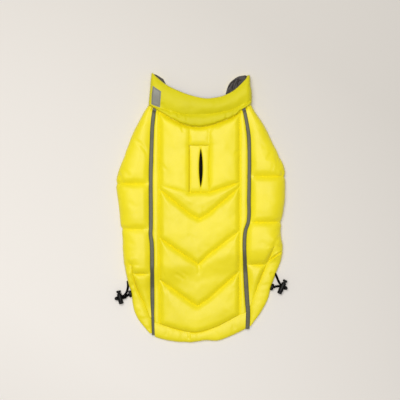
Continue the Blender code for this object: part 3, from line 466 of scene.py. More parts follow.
def stitch_row(paths, name, slot, pitch=3, thread=0.2, sink=0.06, normal=(0, 0, 1)):
    """Separate stitches along paths on the cloth, each a short thread dipping at both ends."""
    vertices, faces = [], []
    sides = 6
    shares = np.array([-1, -0.72, 0, 0.72, 1])
    lift = np.array([-0.75, 0.3, 0.62, 0.3, -0.75])
    girth = np.array([0.5, 0.95, 1, 0.95, 0.5])
    for path in paths:
        points = resample(path, pitch)
        for a, b in zip(points, points[1:]):
            along = b - a
            length = np.linalg.norm(along)
            along /= length
            side = np.cross(along, normal)
            side /= max(np.linalg.norm(side), 1e-6)
            up = np.cross(side, along)
            middle = (a + b) / 2
            base = len(vertices)
            for share, rise, wide in zip(shares, lift, girth):
                centre = middle + along * share * length * 0.38 + up * (rise * thread - sink)
                for k in range(sides):
                    angle = 2 * math.pi * k / sides
                    ring = side * math.cos(angle) + up * math.sin(angle)
                    vertices.append(centre + ring * wide * thread)
            for r in range(len(shares) - 1):
                for k in range(sides):
                    n = (k + 1) % sides
                    p, q = base + r * sides, base + (r + 1) * sides
                    faces.append((p + k, p + n, q + n, q + k))
            faces.append([base + k for k in reversed(range(sides))])
            last = base + (len(shares) - 1) * sides
            faces.append([last + k for k in range(sides)])
    return mesh_object(name, vertices, faces, [slot])


def dress(item, slot, *cad_names):
    """Hides the CAD nodes whose place a piece takes; its slot is not used."""
    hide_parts(*cad_names)
    return item


def neck_sink(seam, y):
    """How far the collar presses the cloth down beside its seam."""
    return NECK_SINK * np.exp(-((seam - y) / NECK_REACH) ** 2)


# Back
def quilt_crossings(row):
    return [row.border_left, row.placket_left, row.apex_y, row.placket_right, row.border_right]


def fine_rows():
    """Rows of points of the back, closer together beside the stitch lines."""
    rows = []
    for block, (upper, lower) in enumerate(zip(QUILT, QUILT[1:])):
        ends = list(zip(quilt_crossings(upper), quilt_crossings(lower)))
        for k in range(upper.steps + (block == len(QUILT) - 2)):
            t = k / upper.steps
            t -= 0.045 * math.sin(4 * math.pi * t)
            crossings = [a + (b - a) * t for a, b in ends]
            rows.append((block, t, crossings, upper.apex_x + (lower.apex_x - upper.apex_x) * t))
    return rows


def border_knots():
    return [QUILT[-1].border_left, *quilt_crossings(QUILT[-1]), QUILT[-1].border_right]


def back_y(block, t, x, x_knots, y_knots):
    y = np.interp(x, x_knots, y_knots)
    if block == 0:
        y = (back_seam(x) - NECK_GAP) * (1 - t) + QUILT[1].apex_y * t
    if block == len(QUILT) - 2:
        y = y + (border_line(x) + SEAM_GAP - np.interp(x, x_knots, border_knots())) * t
    return y


def strip_width(side, y):
    """The left tape turns away towards the hem, the right one lies flatter there."""
    if side < 0:
        return 5.8 - 1.3 * ease((-150 - y) / 25)
    return 5.3 + 1.2 * ease((-70 - y) / 50)


def strip_side(side, y, towards):
    return strip_line[side](y) + towards * strip_width(side, y) / 2


def back_relief(x, y, blocks, part):
    """Padding above the stitch lines, from the distance to each of them."""
    sunk = np.zeros_like(x)
    nearest = np.full(x.shape, FAR)
    for line, depth in quilt_lines():
        distance, _ = line_field(x, y, line)
        sunk += (depth * (1 - pillow(distance, QUILT_ROUND) ** PAD_POWER)) ** 3
        nearest = np.minimum(nearest, distance + 20 * (1 - depth))
    rise = 1 - np.minimum(sunk, 1) ** (1 / 3)
    band = (part == 0) | (part == 5)     # between a strip and the border's stitch line
    channel = (part == 2) | (part == 3)  # in line with the placket
    height = np.where(band, PUFF_BAND, PUFF_BACK * (0.5 + 0.5 * pillow(nearest, PAD_FULL)))
    height = np.where(channel & (blocks == 0), CHANNEL_SHARE * height, height)
    height = np.where(channel & (blocks == 1), 0, height)
    edge = np.minimum(np.abs(x - strip_side(-1, y, 1)), np.abs(strip_side(1, y, -1) - x))
    border = np.minimum(np.abs(x - BORDER_LEFT), np.abs(x - BORDER_RIGHT))
    narrow = np.where(band, pillow(edge, 4) * pillow(border, 4), rise)
    border_sink = BORDER_SINK * np.exp(-(border / 3.5) ** 2)
    return height * narrow + border_sink - neck_sink(back_seam(x), y)


BACK_CREASES = (
    (-31, 129, -27, 121, 1, 2.2), (-34, 133, -24, 128.5, 0.5, 2),
    (31, 132, 24, 126, 0.6, 2.2), (19, 128, 13, 120, 0.5, 2),
    (-41, -104, -27, -114, 0.7, 2.6), (-29, -102, -20, -109, 0.5, 2.4),
    (-60, -126, -53, -138, 0.8, 2.4), (-62, -132, -50, -128, 0.5, 2),
    (-60, -103, -56, -116, 0.5, 2.2), (10, -18, 4, 2, 0.5, 2.4),
    (40, 12, 52, 22, 0.4, 2.6),
    (-2, -92, -3.5, -106, 0.9, 3), (-20, -42, -10, -50, 0.4, 3),
    (55, 84, 60, 92, 0.5, 2), (44, -62, 54, -54, 0.5, 2.6),
    (-55, 61, -61, 70, 0.4, 2.4), (46, -132, 56, -126, 0.4, 2.4),
)


def quilt_lines():
    """Stitch lines of the back, from above, each with the share of the padding it draws down."""
    lines = [([(PLACKET_LEFT, PLACKET_TOP), (PLACKET_RIGHT, PLACKET_TOP)], 0.4)]
    for row, depth in zip(QUILT[2:-1], QUILT_DEPTHS):
        knots = (BORDER_LEFT, PLACKET_LEFT, row.apex_x, PLACKET_RIGHT, BORDER_RIGHT)
        points = list(zip(knots, quilt_crossings(row)))
        if row is QUILT[2]:
            lines.append((points[:2], 0.25))
            points = points[1:]
        lines.append((points, depth))
    for x in (BORDER_LEFT, BORDER_RIGHT):
        lines.append(([(x, 158), (x, -188 if x < 0 else -171)], 1))
    for x in (PLACKET_LEFT, PLACKET_RIGHT):
        lines.append(([(x, 131), (x, PLACKET_TOP)], 0.32))
        lines.append(([(x, PLACKET_TOP), (x, PLACKET_BOTTOM)], 0.48))
    xs = np.linspace(BORDER_LEFT, BORDER_RIGHT, 14)
    lines.append((list(zip(xs, border_line(xs))), 0.88))
    lines.append((list(zip(xs, back_seam(xs))), 1))
    return lines


def build_back():
    rows = fine_rows()
    columns = [(part, k / steps) for part, steps in enumerate(BACK_COLUMNS)
               for k in range(steps + (part == len(BACK_COLUMNS) - 1))]
    part, share = (np.array(values) for values in zip(*columns))
    outer = np.zeros((len(rows), len(part), 3))
    for i, (block, t, crossings, apex) in enumerate(rows):
        y_knots = [crossings[0], *crossings, crossings[-1]]
        x_knots = [0, BORDER_LEFT, PLACKET_LEFT, apex, PLACKET_RIGHT, BORDER_RIGHT, 0]
        for end, side in ((0, -1), (-1, 1)):
            x_knots[end] = float(strip_side(side, y_knots[end], -side)) - side * SEAM_GAP
            for _ in range(4):
                y = float(back_y(block, t, x_knots[end], x_knots, y_knots))
                x_knots[end] = float(strip_side(side, y, -side)) - side * SEAM_GAP
        starts, ends = np.array(x_knots[:-1]), np.array(x_knots[1:])
        x = starts[part] + (ends[part] - starts[part]) * share
        outer[i, :, 0] = x
        outer[i, :, 1] = back_y(block, t, x, x_knots, y_knots)
    x, y = outer[..., 0].copy(), outer[..., 1].copy()
    row_blocks = np.array([row[0] for row in rows])
    relief = back_relief(x, y, row_blocks[:, None], part)
    quilted = np.clip(relief / 2.5, 0, 1)
    relief += quilted * layers(x, y, (1.2, 42, 3), (0.5, 15, 4))
    relief -= crease_field(x, y, BACK_CREASES) * np.clip(relief / 1.5, 0.2, 1)
    lines = [line for line, _ in quilt_lines()]
    relief += pucker_field(x, y, lines, seed=11) * np.clip(relief / 1.2, 0, 1)
    inner = outer.copy()
    outer[..., 2] = stitch_height(x, y) + relief
    inner[..., 2] = inside_height(x, y)
    normals = facing(grid_normals(outer), (20, 20), (0, 0, 1))
    outer = rounded(outer, normals, margin=1.2, drop=0.25)
    keep = np.ones((outer.shape[0] - 1, outer.shape[1] - 1), bool)
    blocks = row_blocks[:-1]
    first, last = sum(BACK_COLUMNS[:2]), sum(BACK_COLUMNS[:4])
    keep[blocks == 1, first:last] = False
    item = closed_wall("back_padding", ["shell", "lining"], outer, inner, keep)
    return dress(item, "shell", "back_panel"), outer, blocks


def back_stitches(outer, blocks):
    """Thread along the quilting, a hair above the outer points of the stitch lines."""
    starts = [int(np.argmax(blocks == k)) for k in range(len(QUILT) - 1)]
    left, right = BACK_COLUMNS[0], outer.shape[1] - 1 - BACK_COLUMNS[-1]
    placket_a, placket_b = sum(BACK_COLUMNS[:2]), sum(BACK_COLUMNS[:4])
    spans = [(starts[1], placket_a, placket_b), (starts[2], left, placket_a),
             (starts[2], placket_b, right), (starts[2], placket_a, placket_b)]
    spans += [(i, left, right) for i in starts[3:]]
    paths = [outer[i, a:b + 1] for i, a, b in spans]
    paths += [outer[1:-1, left], outer[1:-1, right]]
    paths += [outer[1:starts[2] + 1, column] for column in (placket_a, placket_b)]
    paths += [outer[1:-1, 1] + (EDGE_STITCH, 0, 0), outer[1:-1, -2] - (EDGE_STITCH, 0, 0)]
    return stitch_row(paths, "back_stitches", "thread")


def build_placket():
    """Stitched rectangle round the lead slit, whose turned lips part in a narrow lens."""
    inset = SEAM_GAP
    ys = np.concatenate((np.linspace(PLACKET_TOP - inset, SLIT_TOP, 5),
                         np.linspace(SLIT_TOP, SLIT_BOTTOM, 57)[1:],
                         np.linspace(SLIT_BOTTOM, PLACKET_BOTTOM + inset, 8)[1:]))
    half_columns = 15
    centre, reach = (SLIT_TOP + SLIT_BOTTOM) / 2, (SLIT_TOP - SLIT_BOTTOM) / 2
    outer = np.zeros((len(ys), 2 * half_columns, 3))
    ramp = np.linspace(0, 1, half_columns)
    spread = 1 - (1 - ramp) ** 1.35
    for i, y in enumerate(ys):
        share = max(0, 1 - ((y - centre) / reach) ** 2)
        half = max(SLIT_END_HALF, SLIT_HALF * share ** 0.8)
        bow = 0.5 * math.sin((y - 30) / 21)  # the slit isn't quite straight
        left = PLACKET_LEFT + inset + (SLIT_X + 0.3 * bow - half - PLACKET_LEFT - inset) * spread
        right = PLACKET_RIGHT - inset - (PLACKET_RIGHT - inset - SLIT_X - 0.3 * bow - half) * spread
        x = np.concatenate((left, right[::-1]))
        lip = np.concatenate((ramp, ramp[::-1]))
        profile = puff(0.93 * lip, 0.55) * (1 - 0.45 * ease((lip - 0.86) / 0.14))
        lengthwise = puff((PLACKET_TOP - y) / (PLACKET_TOP - PLACKET_BOTTOM), 0.35)
        outer[i, :, 0], outer[i, :, 1] = x, y
        level = PLACKET_RISE * (0.37 + 0.63 * float(pillow(y - PLACKET_BOTTOM, 9)))
        outer[i, :, 2] = stitch_height(x, y) + level + PUFF_LIP * profile * lengthwise
    x, y = outer[..., 0], outer[..., 1]
    lines = [[(PLACKET_LEFT, 98), (PLACKET_LEFT, 26)], [(PLACKET_RIGHT, 98), (PLACKET_RIGHT, 26)],
             [(PLACKET_LEFT, PLACKET_BOTTOM), (PLACKET_RIGHT, PLACKET_BOTTOM)],
             [(SLIT_X - 3, SLIT_TOP), (SLIT_X - 3, SLIT_BOTTOM)]]
    outer[..., 2] += pucker_field(x, y, lines, size=0.4, seed=31)
    inner = outer.copy()
    inner[..., 2] = inside_height(x, y)
    keep = np.ones((len(ys) - 1, outer.shape[1] - 1), bool)
    slit_rows = (ys[:-1] <= SLIT_TOP + 1e-6) & (ys[1:] >= SLIT_BOTTOM - 1e-6)
    keep[slit_rows, half_columns - 1] = False
    normals = facing(grid_normals(outer), (8, 5), (0, 0, 1))
    outer = rounded(outer, normals, margin=0.8, drop=0.08)
    # inner face near black: painted shade seen through the slit
    item = closed_wall("placket_cloth", ["shell", "shaded_lining"], outer, inner, keep)
    dress(item, "shell", "lead_placket")
    edge = half_columns - 4
    rows = slice(4, len(ys) - 7)
    paths = [outer[rows, edge], outer[rows, -1 - edge],
             outer[3, edge:-edge], outer[-7, edge:-edge]]
    return item, stitch_row(paths, "placket_stitches", "thread", pitch=2.4)


# Sides
SIDE_COLUMNS = 28, 32, 12                  # over the top, round the fold and below
SIDE_ROW_STEP = 1.5
NOTCH_DEPTH, NOTCH_WIDTH = 1.5, 3.2        # where a stitch line draws the fold in
SEAM_TURN = 26                             # the fold moves in to the hem's seam over this
UNDER_LEAST = 0.6                          # least width of the part below
SIDE_ROUND, PAD_FULL, PAD_POWER = 10, 28, 0.8


def neck_y(x, level):
    """Neck seam at x; level is 1 on the back, 0 on the front and between in the fold."""
    return front_seam(x) + (back_seam(x) - front_seam(x)) * level


def side_y(side, row_y, x, up):
    """y of a point of a side; the first rows turn from level to the slope of the neck seam."""
    first = SIDE_STITCHES[side][0]
    if row_y < first:
        return row_y + 0 * x
    neck = neck_y(x, (1 + up) / 2) - NECK_GAP
    return neck + (first - neck) * (SIDE_START - row_y) / (SIDE_START - first)


def follow(side, row_y, up, edge):
    x = float(edge(row_y))
    for _ in range(4):
        x = float(edge(side_y(side, row_y, x, up)))
    return x


def side_pad(side, y):
    """Height of the padding of a side at y, as a share, with wide soft stitch lines."""
    lines = (SIDE_TOP_STITCH, *SIDE_STITCHES[side], SIDE_END[side] - 1)
    share = 1
    for line in lines:
        share *= float(pillow(abs(y - line), SIDE_ROUND)) ** PAD_POWER
    nearest = min(abs(y - line) for line in lines)
    return share * (0.6 + 0.4 * float(pillow(nearest, PAD_FULL)))


def side_row_list(side):
    stops = sorted([SIDE_START, *SIDE_STITCHES[side], SIDE_OPEN[side], SIDE_END[side]],
                   reverse=True)
    rows = [SIDE_START]
    for a, b in zip(stops, stops[1:]):
        steps = max(2, int(round((a - b) / SIDE_ROW_STEP)))
        rows += [a + (b - a) * k / steps for k in range(1, steps + 1)]
    return rows


SIDE_CREASES = {
    -1: (
        (-103.7, 108.2, -85, 86.9, 1, 3), (-131.4, 56, -124, 38.5, 1, 2.4),
        (-118, -83, -109.5, -97, 0.9, 2.8), (-124, 62, -113, 50, 0.5, 3),
        (-96, 132, -86, 140, 0.5, 2.6), (-126, -30, -112, -34.5, 0.7, 2),
        (-100, 0, -114, 10, 0.4, 4), (-104, -60, -116, -52, 0.4, 4),
        (-128, 20, -116, 30, 0.4, 3),
    ),
    1: (
        (112.2, 88.7, 105, 76.9, 0.9, 2), (121.1, 82.1, 119.8, 54.4, 1.1, 1.9),
        (125.4, 83.7, 124.4, 55, 0.9, 1.7), (116.3, 70.8, 113.2, 58.2, 0.8, 1.8),
        (129.5, 60, 129.8, 50, 1.2, 2.2), (117, -60, 129.5, -42, 0.8, 2.4),
        (98, 122, 88, 132, 0.4, 3),
        (104, 96, 92, 110, 0.4, 3.6), (100, 20, 116, 8, 0.4, 4),
        (126, -18, 114, -22.6, 0.7, 2), (94, -54, 108, -62, 0.4, 4),
    ),
}


def side_fold(side, row_y):
    """Where a row starts at the strip, ends at the fold, starts to turn and meets the hem."""
    x_in = follow(side, row_y, 1, lambda y: strip_side(side, y, side) + side * SEAM_GAP)
    x_out = follow(side, row_y, 0, outline[side])
    notch = sum(math.exp(-((row_y - s) / NOTCH_WIDTH) ** 2) for s in SIDE_STITCHES[side][:2])
    x_out -= side * (NOTCH_DEPTH * notch + 0.35 * float(noise(row_y, 0, 9, 40 + side)))
    first_rows = ease((row_y - SIDE_START + 14) / 14)
    roll = min(ROLL_TOP, (0.6 + 0.25 * first_rows) * abs(x_out - x_in))
    x_roll = x_out - side * roll
    seam = float(hem_seam[side](row_y)) - side * SEAM_GAP / 2
    turn = float(ease((SIDE_OPEN[side] + SEAM_TURN - row_y) / SEAM_TURN))
    return x_in, x_out, x_roll + (seam - x_roll) * turn, seam, turn


def side_lift(side, row_y, x, x_in, seam, turn):
    """Padding over the top of a row as a share, low at the strip and at the hem's seam."""
    above = row_y >= SIDE_OPEN[side] - 0.01
    seam_x = seam + side * 0.6 * max(0, row_y - HEM_SEAM[side][0][1])
    held = OPEN_RISE * math.exp(-(max(0, SIDE_OPEN[side] - row_y) / 12) ** 2) / PUFF_SIDE
    near_seam = pillow(np.abs(seam_x - x), 9 + 8 * above) ** PAD_POWER
    inwards = np.abs(x - x_in)
    from_strip = pillow(inwards, SIDE_ROUND) ** PAD_POWER * (0.6 + 0.4 * pillow(inwards, 26))
    return from_strip * (1 - turn * (1 - (held + (1 - held) * near_seam)))


def build_side(name, side):
    """Padded side: over the top, round the fold and back under to the belly seam."""
    top_columns, roll_columns, under_columns = SIDE_COLUMNS
    rows = side_row_list(side)
    ramp = np.linspace(0, 1, top_columns + 1)
    ramp = ramp - 0.035 * np.sin(2 * math.pi * ramp)
    count = sum(SIDE_COLUMNS) + 1
    outer, inner = np.zeros((len(rows), count, 3)), np.zeros((len(rows), count, 3))
    keep = np.ones((len(rows) - 1, count - 1), bool)
    weight = np.zeros(outer.shape[:2])
    open_y = SIDE_OPEN[side]
    n = top_columns + 1
    for i, row_y in enumerate(rows):
        if i + 1 < len(rows) and rows[i + 1] < open_y - 0.01:
            keep[i, top_columns:] = False
        x_in, x_out, x_roll, seam, turn = side_fold(side, row_y)
        roll = abs(x_out - x_roll)
        x_under = follow(side, row_y, -1, lambda y: side * flange_edge(y))
        x_under = side * min(abs(x_under), abs(x_roll) - UNDER_LEAST)
        if row_y < open_y - 0.01:
            x_roll = seam
        padding = PUFF_SIDE * side_pad(side, row_y) * min(1, abs(x_roll - x_in) / 24)
        x = x_in + (x_roll - x_in) * ramp
        y = side_y(side, row_y, x, 1)
        lift = side_lift(side, row_y, x, x_in, seam, turn)
        z = stitch_height(x, y) + padding * lift - neck_sink(neck_y(x, 1), y)
        outer[i, :n] = np.stack((x, y, z), axis=1)
        inner[i, :n] = np.stack((x, y, inside_height(x, y)), axis=1)
        weight[i, :n] = lift * min(1, padding / 2.5)
        fold_padding = padding * float(lift[-1])
        base = float(stitch_height(x_roll, y[-1]))
        widest = FOLD_WIDEST * base
        edge = x_roll + side * roll
        low_roll = min(roll, ROLL)
        x_under = side * min(abs(x_under), abs(edge) - low_roll - UNDER_LEAST)
        for j in range(1, roll_columns + 1):
            angle = math.pi / 2 - math.pi * j / roll_columns
            out, up = math.cos(angle), math.sin(angle)
            reach = roll if up > 0 else low_roll
            inside = max(reach - WALL, 0.3)
            z = widest + (base + fold_padding - widest if up > 0 else widest) * up
            z_in = widest + (base - WALL - widest if up > 0 else max(widest - WALL, 0)) * up
            for grid, x, z in ((outer, edge - side * reach * (1 - out), z),
                               (inner, edge - side * (reach - inside * out), z_in)):
                grid[i, n + j - 1] = x, float(side_y(side, row_y, x, up)), max(z, 0)
            weight[i, n + j - 1] = min(1, fold_padding / 2.5) * max(0, up) ** 0.5
        x_low = edge - side * low_roll
        for j in range(1, under_columns + 1):
            x = x_low + (x_under - x_low) * j / under_columns
            y = float(side_y(side, row_y, x, -1))
            for grid, z in ((outer, 0), (inner, WALL)):
                grid[i, n + roll_columns + j - 1] = x, y, z
    x, y = outer[..., 0], outer[..., 1]
    relief = weight * layers(x, y, (0.7, 40, 60 + side), (0.3, 14, 64 + side))
    relief -= crease_field(x, y, SIDE_CREASES[side]) * np.clip(weight * 1.5, 0.15, 1)
    lines = [[(side * 78, s), (side * 135, s)] for s in SIDE_STITCHES[side]]
    for curve, start, count in ((strip_line, 155, 30), (hem_seam, open_y, 12)):
        ys = np.linspace(start, SIDE_END[side], count)
        lines.append([(float(curve[side](v)), v) for v in ys])
    puckers = pucker_field(x, y, lines, size=0.6, reach=8, seed=70 + side)
    relief += puckers * np.clip(weight, 0, 1)
    normals = facing(grid_normals(outer), (30, 8), (0, 0, 1))
    outer = outer + normals * relief[..., None]
    outer[..., 2] = np.maximum(outer[..., 2], 0)
    top = rounded(outer[:, :n + 2], normals[:, :n + 2], margin=1.3, drop=0.3, sides="nsw")
    outer[:, :n] = top[:, :n]
    item = closed_wall(name + "_padding", ["shell", "lining"], outer, inner, keep)
    dress(item, "shell", name)
    paths = []
    for s in SIDE_STITCHES[side]:
        i = int(np.argmin(np.abs(np.array(rows) - s)))
        last = n + roll_columns // 2 if s > open_y else n - 1
        paths.append(outer[i, 1:last])
    paths.append(outer[2:-1, 1] + (side * 0.5, 0, 0))
    return item, stitch_row(paths, name + "_stitches", "thread")


# Belly panel with the leg openings at its edges
BELLY_ROWS = (
    (96, 14), (90, 3), (76, 6), (56, 9), (36, 9), (22, 6), (8, 6), (-40, 16),
)  # y of the last row of a stretch, and its number of steps


def front_row(x, t):
    return (front_seam(x) - 2 * SEAM_GAP) * (1 - t) + BELLY_ROWS[0][0] * t


def build_belly():
    rows = [(0, None, None)]
    start = None
    for end, steps in BELLY_ROWS:
        rows += [(k / steps, start, end) for k in range(1, steps + 1)]
        start = end
    rows += [(k / 12, start, "rear") for k in range(1, 13)]
    shares = np.linspace(-1, 1, 65)
    shares = shares + 0.05 * np.sin(math.pi * shares)
    top = np.zeros((len(rows), len(shares), 3))
    for i, (t, upper, lower) in enumerate(rows):
        if upper is None:
            edge = float(belly_edge(BELLY_ROWS[0][0]))
            for _ in range(6):
                edge = float(belly_edge(front_row(edge, t)))
            x = shares * edge
            y = front_row(x, t)
        elif lower == "rear":
            x = shares * float(belly_edge(upper))
            y = upper + (BELLY_REAR + FLAP_SKEW * x - upper) * t
        else:
            y = np.full(len(shares), upper + (lower - upper) * t)
            x = shares * float(belly_edge(y[0]))
        top[i] = np.stack((x, y, np.full(len(x), BELLY_WALL)), axis=1)
    x, y = top[..., 0], top[..., 1]
    edge_distance = np.minimum(belly_edge(y) - np.abs(x), y - (BELLY_REAR + FLAP_SKEW * x))
    edge_distance = np.clip(edge_distance, 0, None)
    sink = 1 - border_puff(edge_distance, 7)
    top[..., 2] -= 1.5 * sink + 0.3 * (1 + turned_noise(x, y, size=22, seed=81))
    low = top.copy()
    gathers = noise(y, x * 0, 5, 82) * np.exp(-edge_distance / 9)
    waves = 0.9 * sink + 0.25 * gathers + 0.12 * turned_noise(x, y, size=18, seed=83)
    low[..., 2] = np.clip(waves, 0, None)
    # upper face near black: painted shade inside the coat
    item = closed_wall("belly_cloth", ["shaded_lining", "shell"], top, low)
    dress(item, "shell", "belly_panel")
    paths = [low[2:-1, 3], low[2:-1, -4], low[-3, 2:-2]]
    return item, stitch_row(paths, "belly_stitches", "thread", normal=(0, 0, -1), sink=0.35)


# Hem casings and reflective strips
def smooth_rows(table, steps):
    keys = np.arange(len(table))
    at = np.linspace(0, len(table) - 1, (len(table) - 1) * steps + 1)
    return [smooth_curve(keys, [row[k] for row in table])(at) for k in range(len(table[0]))]


def side_casing(side):
    inner_y, outer_x, outer_y = smooth_rows(HEM_SIDE[side], 11)
    seam = np.abs(hem_seam[side](inner_y)) + SEAM_GAP
    strip = np.abs(strip_side(side, inner_y, side)) + SEAM_GAP
    past = ease(SIDE_END[side] - inner_y)
    return side * (np.maximum(seam, strip) * (1 - past) + strip * past), inner_y, outer_x, outer_y


def centre_casing():
    inner_x, inner_y, outer_x, outer_y = smooth_rows(HEM_CENTRE, 12)
    for xs, ys in ((inner_x, inner_y), (outer_x, outer_y)):
        for end, side in ((0, -1), (-1, 1)):
            shift = strip_side(side, ys[end], -side) - side * SEAM_GAP - xs[end]
            xs += shift * np.exp(-((xs - xs[end]) / 9) ** 2)
    return inner_x, border_line(inner_x) - SEAM_GAP / 3, outer_x, outer_y


HEM_CREASES = (
    (-19.2, -198, -18.6, -210, 1.5, 1.8), (26, -198, 27.5, -209, 0.5, 2.6),
    (-108, -120, -112, -128, 0.7, 2.2), (112, -104, 119, -112, 1.2, 3),
    (-52, -196, -56, -204, 0.4, 2.6), (52, -186, 56, -194, 0.4, 2.6),
    (105.5, -90, 131.5, -69.2, 3.6, 1.2), (-113, -98, -119, -104, 0.6, 2.4),
    (98, -150, 104, -154, 0.4, 2.4), (-96, -164, -102, -168, 0.4, 2.4),
)


def build_hem(name, edges, seed):
    """Padded casing, flat underneath, gathered a little by its drawcord."""
    inner_x, inner_y, outer_x, outer_y = edges
    shares = np.sin(np.linspace(0, 1, 25) * math.pi / 2) ** 1.15
    s = shares[None, :]
    span_x, span_y = (outer_x - inner_x)[:, None], (outer_y - inner_y)[:, None]
    width = np.hypot(span_x, span_y)
    steps = np.hypot(np.diff(outer_x), np.diff(outer_y))
    along = np.concatenate(([0], np.cumsum(steps)))[:, None]
    reach = 1 + (0.45 * noise(along, along * 0, 10, seed) - 0.3) / np.maximum(width, 4)
    x = inner_x[:, None] + span_x * s * reach
    y = inner_y[:, None] + span_y * s * reach
    swell = PUFF_HEM * np.minimum(1, width / HEM_WIDTH)
    base = stitch_height(x, y)
    centre = name == "hem_centre"
    first = 0 * along if centre else np.exp(-(along / 12) ** 2)
    start = 0.3 if centre else 0
    edge = (HEM_LOW + (FOLD_WIDEST - HEM_LOW) * first) * base
    fall = np.sqrt(np.clip(1 - s ** (7 - 5 * first), 0, 1))
    swell = swell * (start + (1 - start) * pillow(s, 0.5))
    z = edge + (base + first * OPEN_RISE + (1 - first) * swell - edge) * fall
    inside = np.sin(math.pi * np.clip(s, 0, 1)) ** 0.5
    body = inside * (1 - 0.8 * first)
    gathers = noise(along + 2 * s, s * 1.5, 6.5, seed + 1) * 0.55
    gathers = gathers + noise(along, s * 0, 17, seed + 2) * 0.5
    z = z + body * gathers - crease_field(x, y, HEM_CREASES) * inside
    top = np.stack((x, y, np.maximum(z, edge)), axis=2)
    tuck = 1 - np.minimum(HEM_TUCK, 0.2 * width) / width
    low_x, low_y = inner_x[:, None] + span_x * s * tuck, inner_y[:, None] + span_y * s * tuck
    low = np.stack((low_x, low_y, 0 * x), axis=2)
    normals = facing(grid_normals(top), (20, 8), (0, 0, 1))
    top = rounded(top, normals, margin=1.2, drop=0.2, sides="nw")
    item = closed_wall(name + "_casing", ["shell"], top, low)
    row = int(np.argmin(np.abs(shares - 0.1)))
    return dress(item, "shell", name), stitch_row([top[1:-1, row]], name + "_stitches", "thread")


def build_strip(name, side):
    """Reflective tape, sewn down along both edges, so its middle stands a little proud."""
    line = STRIP[side]
    ys = np.linspace(float(back_seam(line[0][0])) - 3 * SEAM_GAP, line[-1][1], 290)
    shares = np.array([-1, -0.93, -0.8, -0.4, 0, 0.4, 0.8, 0.93, 1])
    drop = np.array([0.35, 0.12, 0.08, 0, -0.06, 0, 0.08, 0.12, 0.35])
    outer = np.zeros((len(ys), len(shares), 3))
    for i, y in enumerate(ys):
        across = shares * strip_width(side, y) / 2
        x = strip_line[side](y) + across
        share = max(0, 1 - i / 5)
        for _ in range(4):
            end = y + (back_seam(x) - NECK_GAP - ys[0]) * share
            x = strip_line[side](end) + across
        outer[i] = np.stack((x, end, stitch_height(x, end) + STRIP_PROUD - drop), axis=1)
    x, y = outer[..., 0], outer[..., 1]
    outer[..., 2] += 0.22 * noise(y, x * 0, 12, 90 + side)
    outer[..., 2] += 0.08 * noise(y, x / 3, 3.5, 92 + side)
    outer[..., 2] -= neck_sink(back_seam(x), y)
    inner = outer.copy()
    inner[..., 2] = stitch_height(x, y) + STRIP_PROUD - STRIP_WALL
    item = closed_wall(name + "_tape", ["reflective"], outer, inner)
    dress(item, "reflective", name)
    return item, stitch_row([outer[1:-1, 2], outer[1:-1, -3]], name + "_stitches", "grey_thread",
                            pitch=2.6, thread=0.24)


# Collar
BACK_STATIONS, ROLL_STATIONS, FRONT_STATIONS = 88, 20, 76
LOW_ROWS, HIGH_ROWS = 10, 24               # below and above the stitch line
COLLAR_LEFT, COLLAR_SPAN = -83, 164        # of the neck seam
FRONT_LEFT, FRONT_SPAN = -75, 148          # of the front's x in FRONT_X


def collar_stations():
    """Round the ring: share across from the left fold, angle of the wall, and the front x."""
    stations = [(k / BACK_STATIONS, math.pi / 2, None) for k in range(BACK_STATIONS + 1)]
    for k in range(1, ROLL_STATIONS):
        stations.append((1, math.pi / 2 - math.pi * k / ROLL_STATIONS, None))
    keys = np.linspace(0, len(FRONT_X) - 1, FRONT_STATIONS)
    for x in smooth_curve(np.arange(len(FRONT_X)), FRONT_X)(keys)[::-1]:
        stations.append((None, -math.pi / 2, float(x)))
    for k in range(1, ROLL_STATIONS):
        stations.append((0, -math.pi / 2 - math.pi * k / ROLL_STATIONS, None))
    return stations


def collar_levels(stitch):
    low = [stitch * k / LOW_ROWS for k in range(LOW_ROWS)]
    return low + [stitch + (1 - stitch) * k / HIGH_ROWS for k in range(HIGH_ROWS + 1)]


def collar_fold(side, level):
    corner, tip = NECK_CORNER[side], COLLAR_TIP[side]
    x = corner[0] + (tip[0] - corner[0]) * level
    if side > 0:
        x = x + COLLAR_BULGE * math.sin(math.pi * min(1, level * 1.6)) * (level < 0.625)
    return x


def collar_grid(depth, padded):
    """Grid of the collar ring, depth inside its outer face, and its padding as a second value."""
    stations = collar_stations()
    rows = LOW_ROWS + HIGH_ROWS + 1
    grid = np.zeros((rows, len(stations), 3))
    relief = np.zeros((rows, len(stations)))
    middle = COLLAR_HEIGHT / 2
    for j, (share, angle, front_x) in enumerate(stations):
        up, out = math.sin(angle), abs(math.cos(angle))
        guess = front_x if front_x is not None else COLLAR_LEFT + COLLAR_SPAN * share
        stitch = float(collar_stitch(guess))
        for i, level in enumerate(collar_levels(stitch)):
            left, right = collar_fold(-1, level) + COLLAR_ROLL, collar_fold(1, level) - COLLAR_ROLL
            if front_x is not None:
                x = left + (right - left) * (front_x - FRONT_LEFT) / FRONT_SPAN
            elif out < 1e-6:
                x = left + (right - left) * share
            else:
                side = 1 if share > 0.5 else -1
                x = (right if side > 0 else left) + side * (COLLAR_ROLL - depth) * out
            weight = (1 + up) / 2
            seam = float(neck_y(x, weight))
            top = float(front_top(x) + (back_top(x) - front_top(x)) * weight)
            z = middle + (middle - depth) * up
            if up > 0 and depth == 0:
                hang = COLLAR_HANG * (0.65 + 0.35 * float(noise(x, 0, 8, 106)))
                seam -= hang * up * math.sin(math.pi * min(1, level / 0.24))
            below = level < stitch
            cell = level / stitch if below else (level - stitch) / (1 - stitch)
            height = PUFF_COLLAR * COLLAR_PUFFS[0 if below else 1] * float(puff(cell, 0.95))
            relief[i, j] = height
            if padded and up > 0:
                z += height * up
            grid[i, j] = x, seam + (top - seam) * level, z
    if depth == 0:
        grid[grid[..., 2] < 0.3, 2] = 0
    return grid, relief


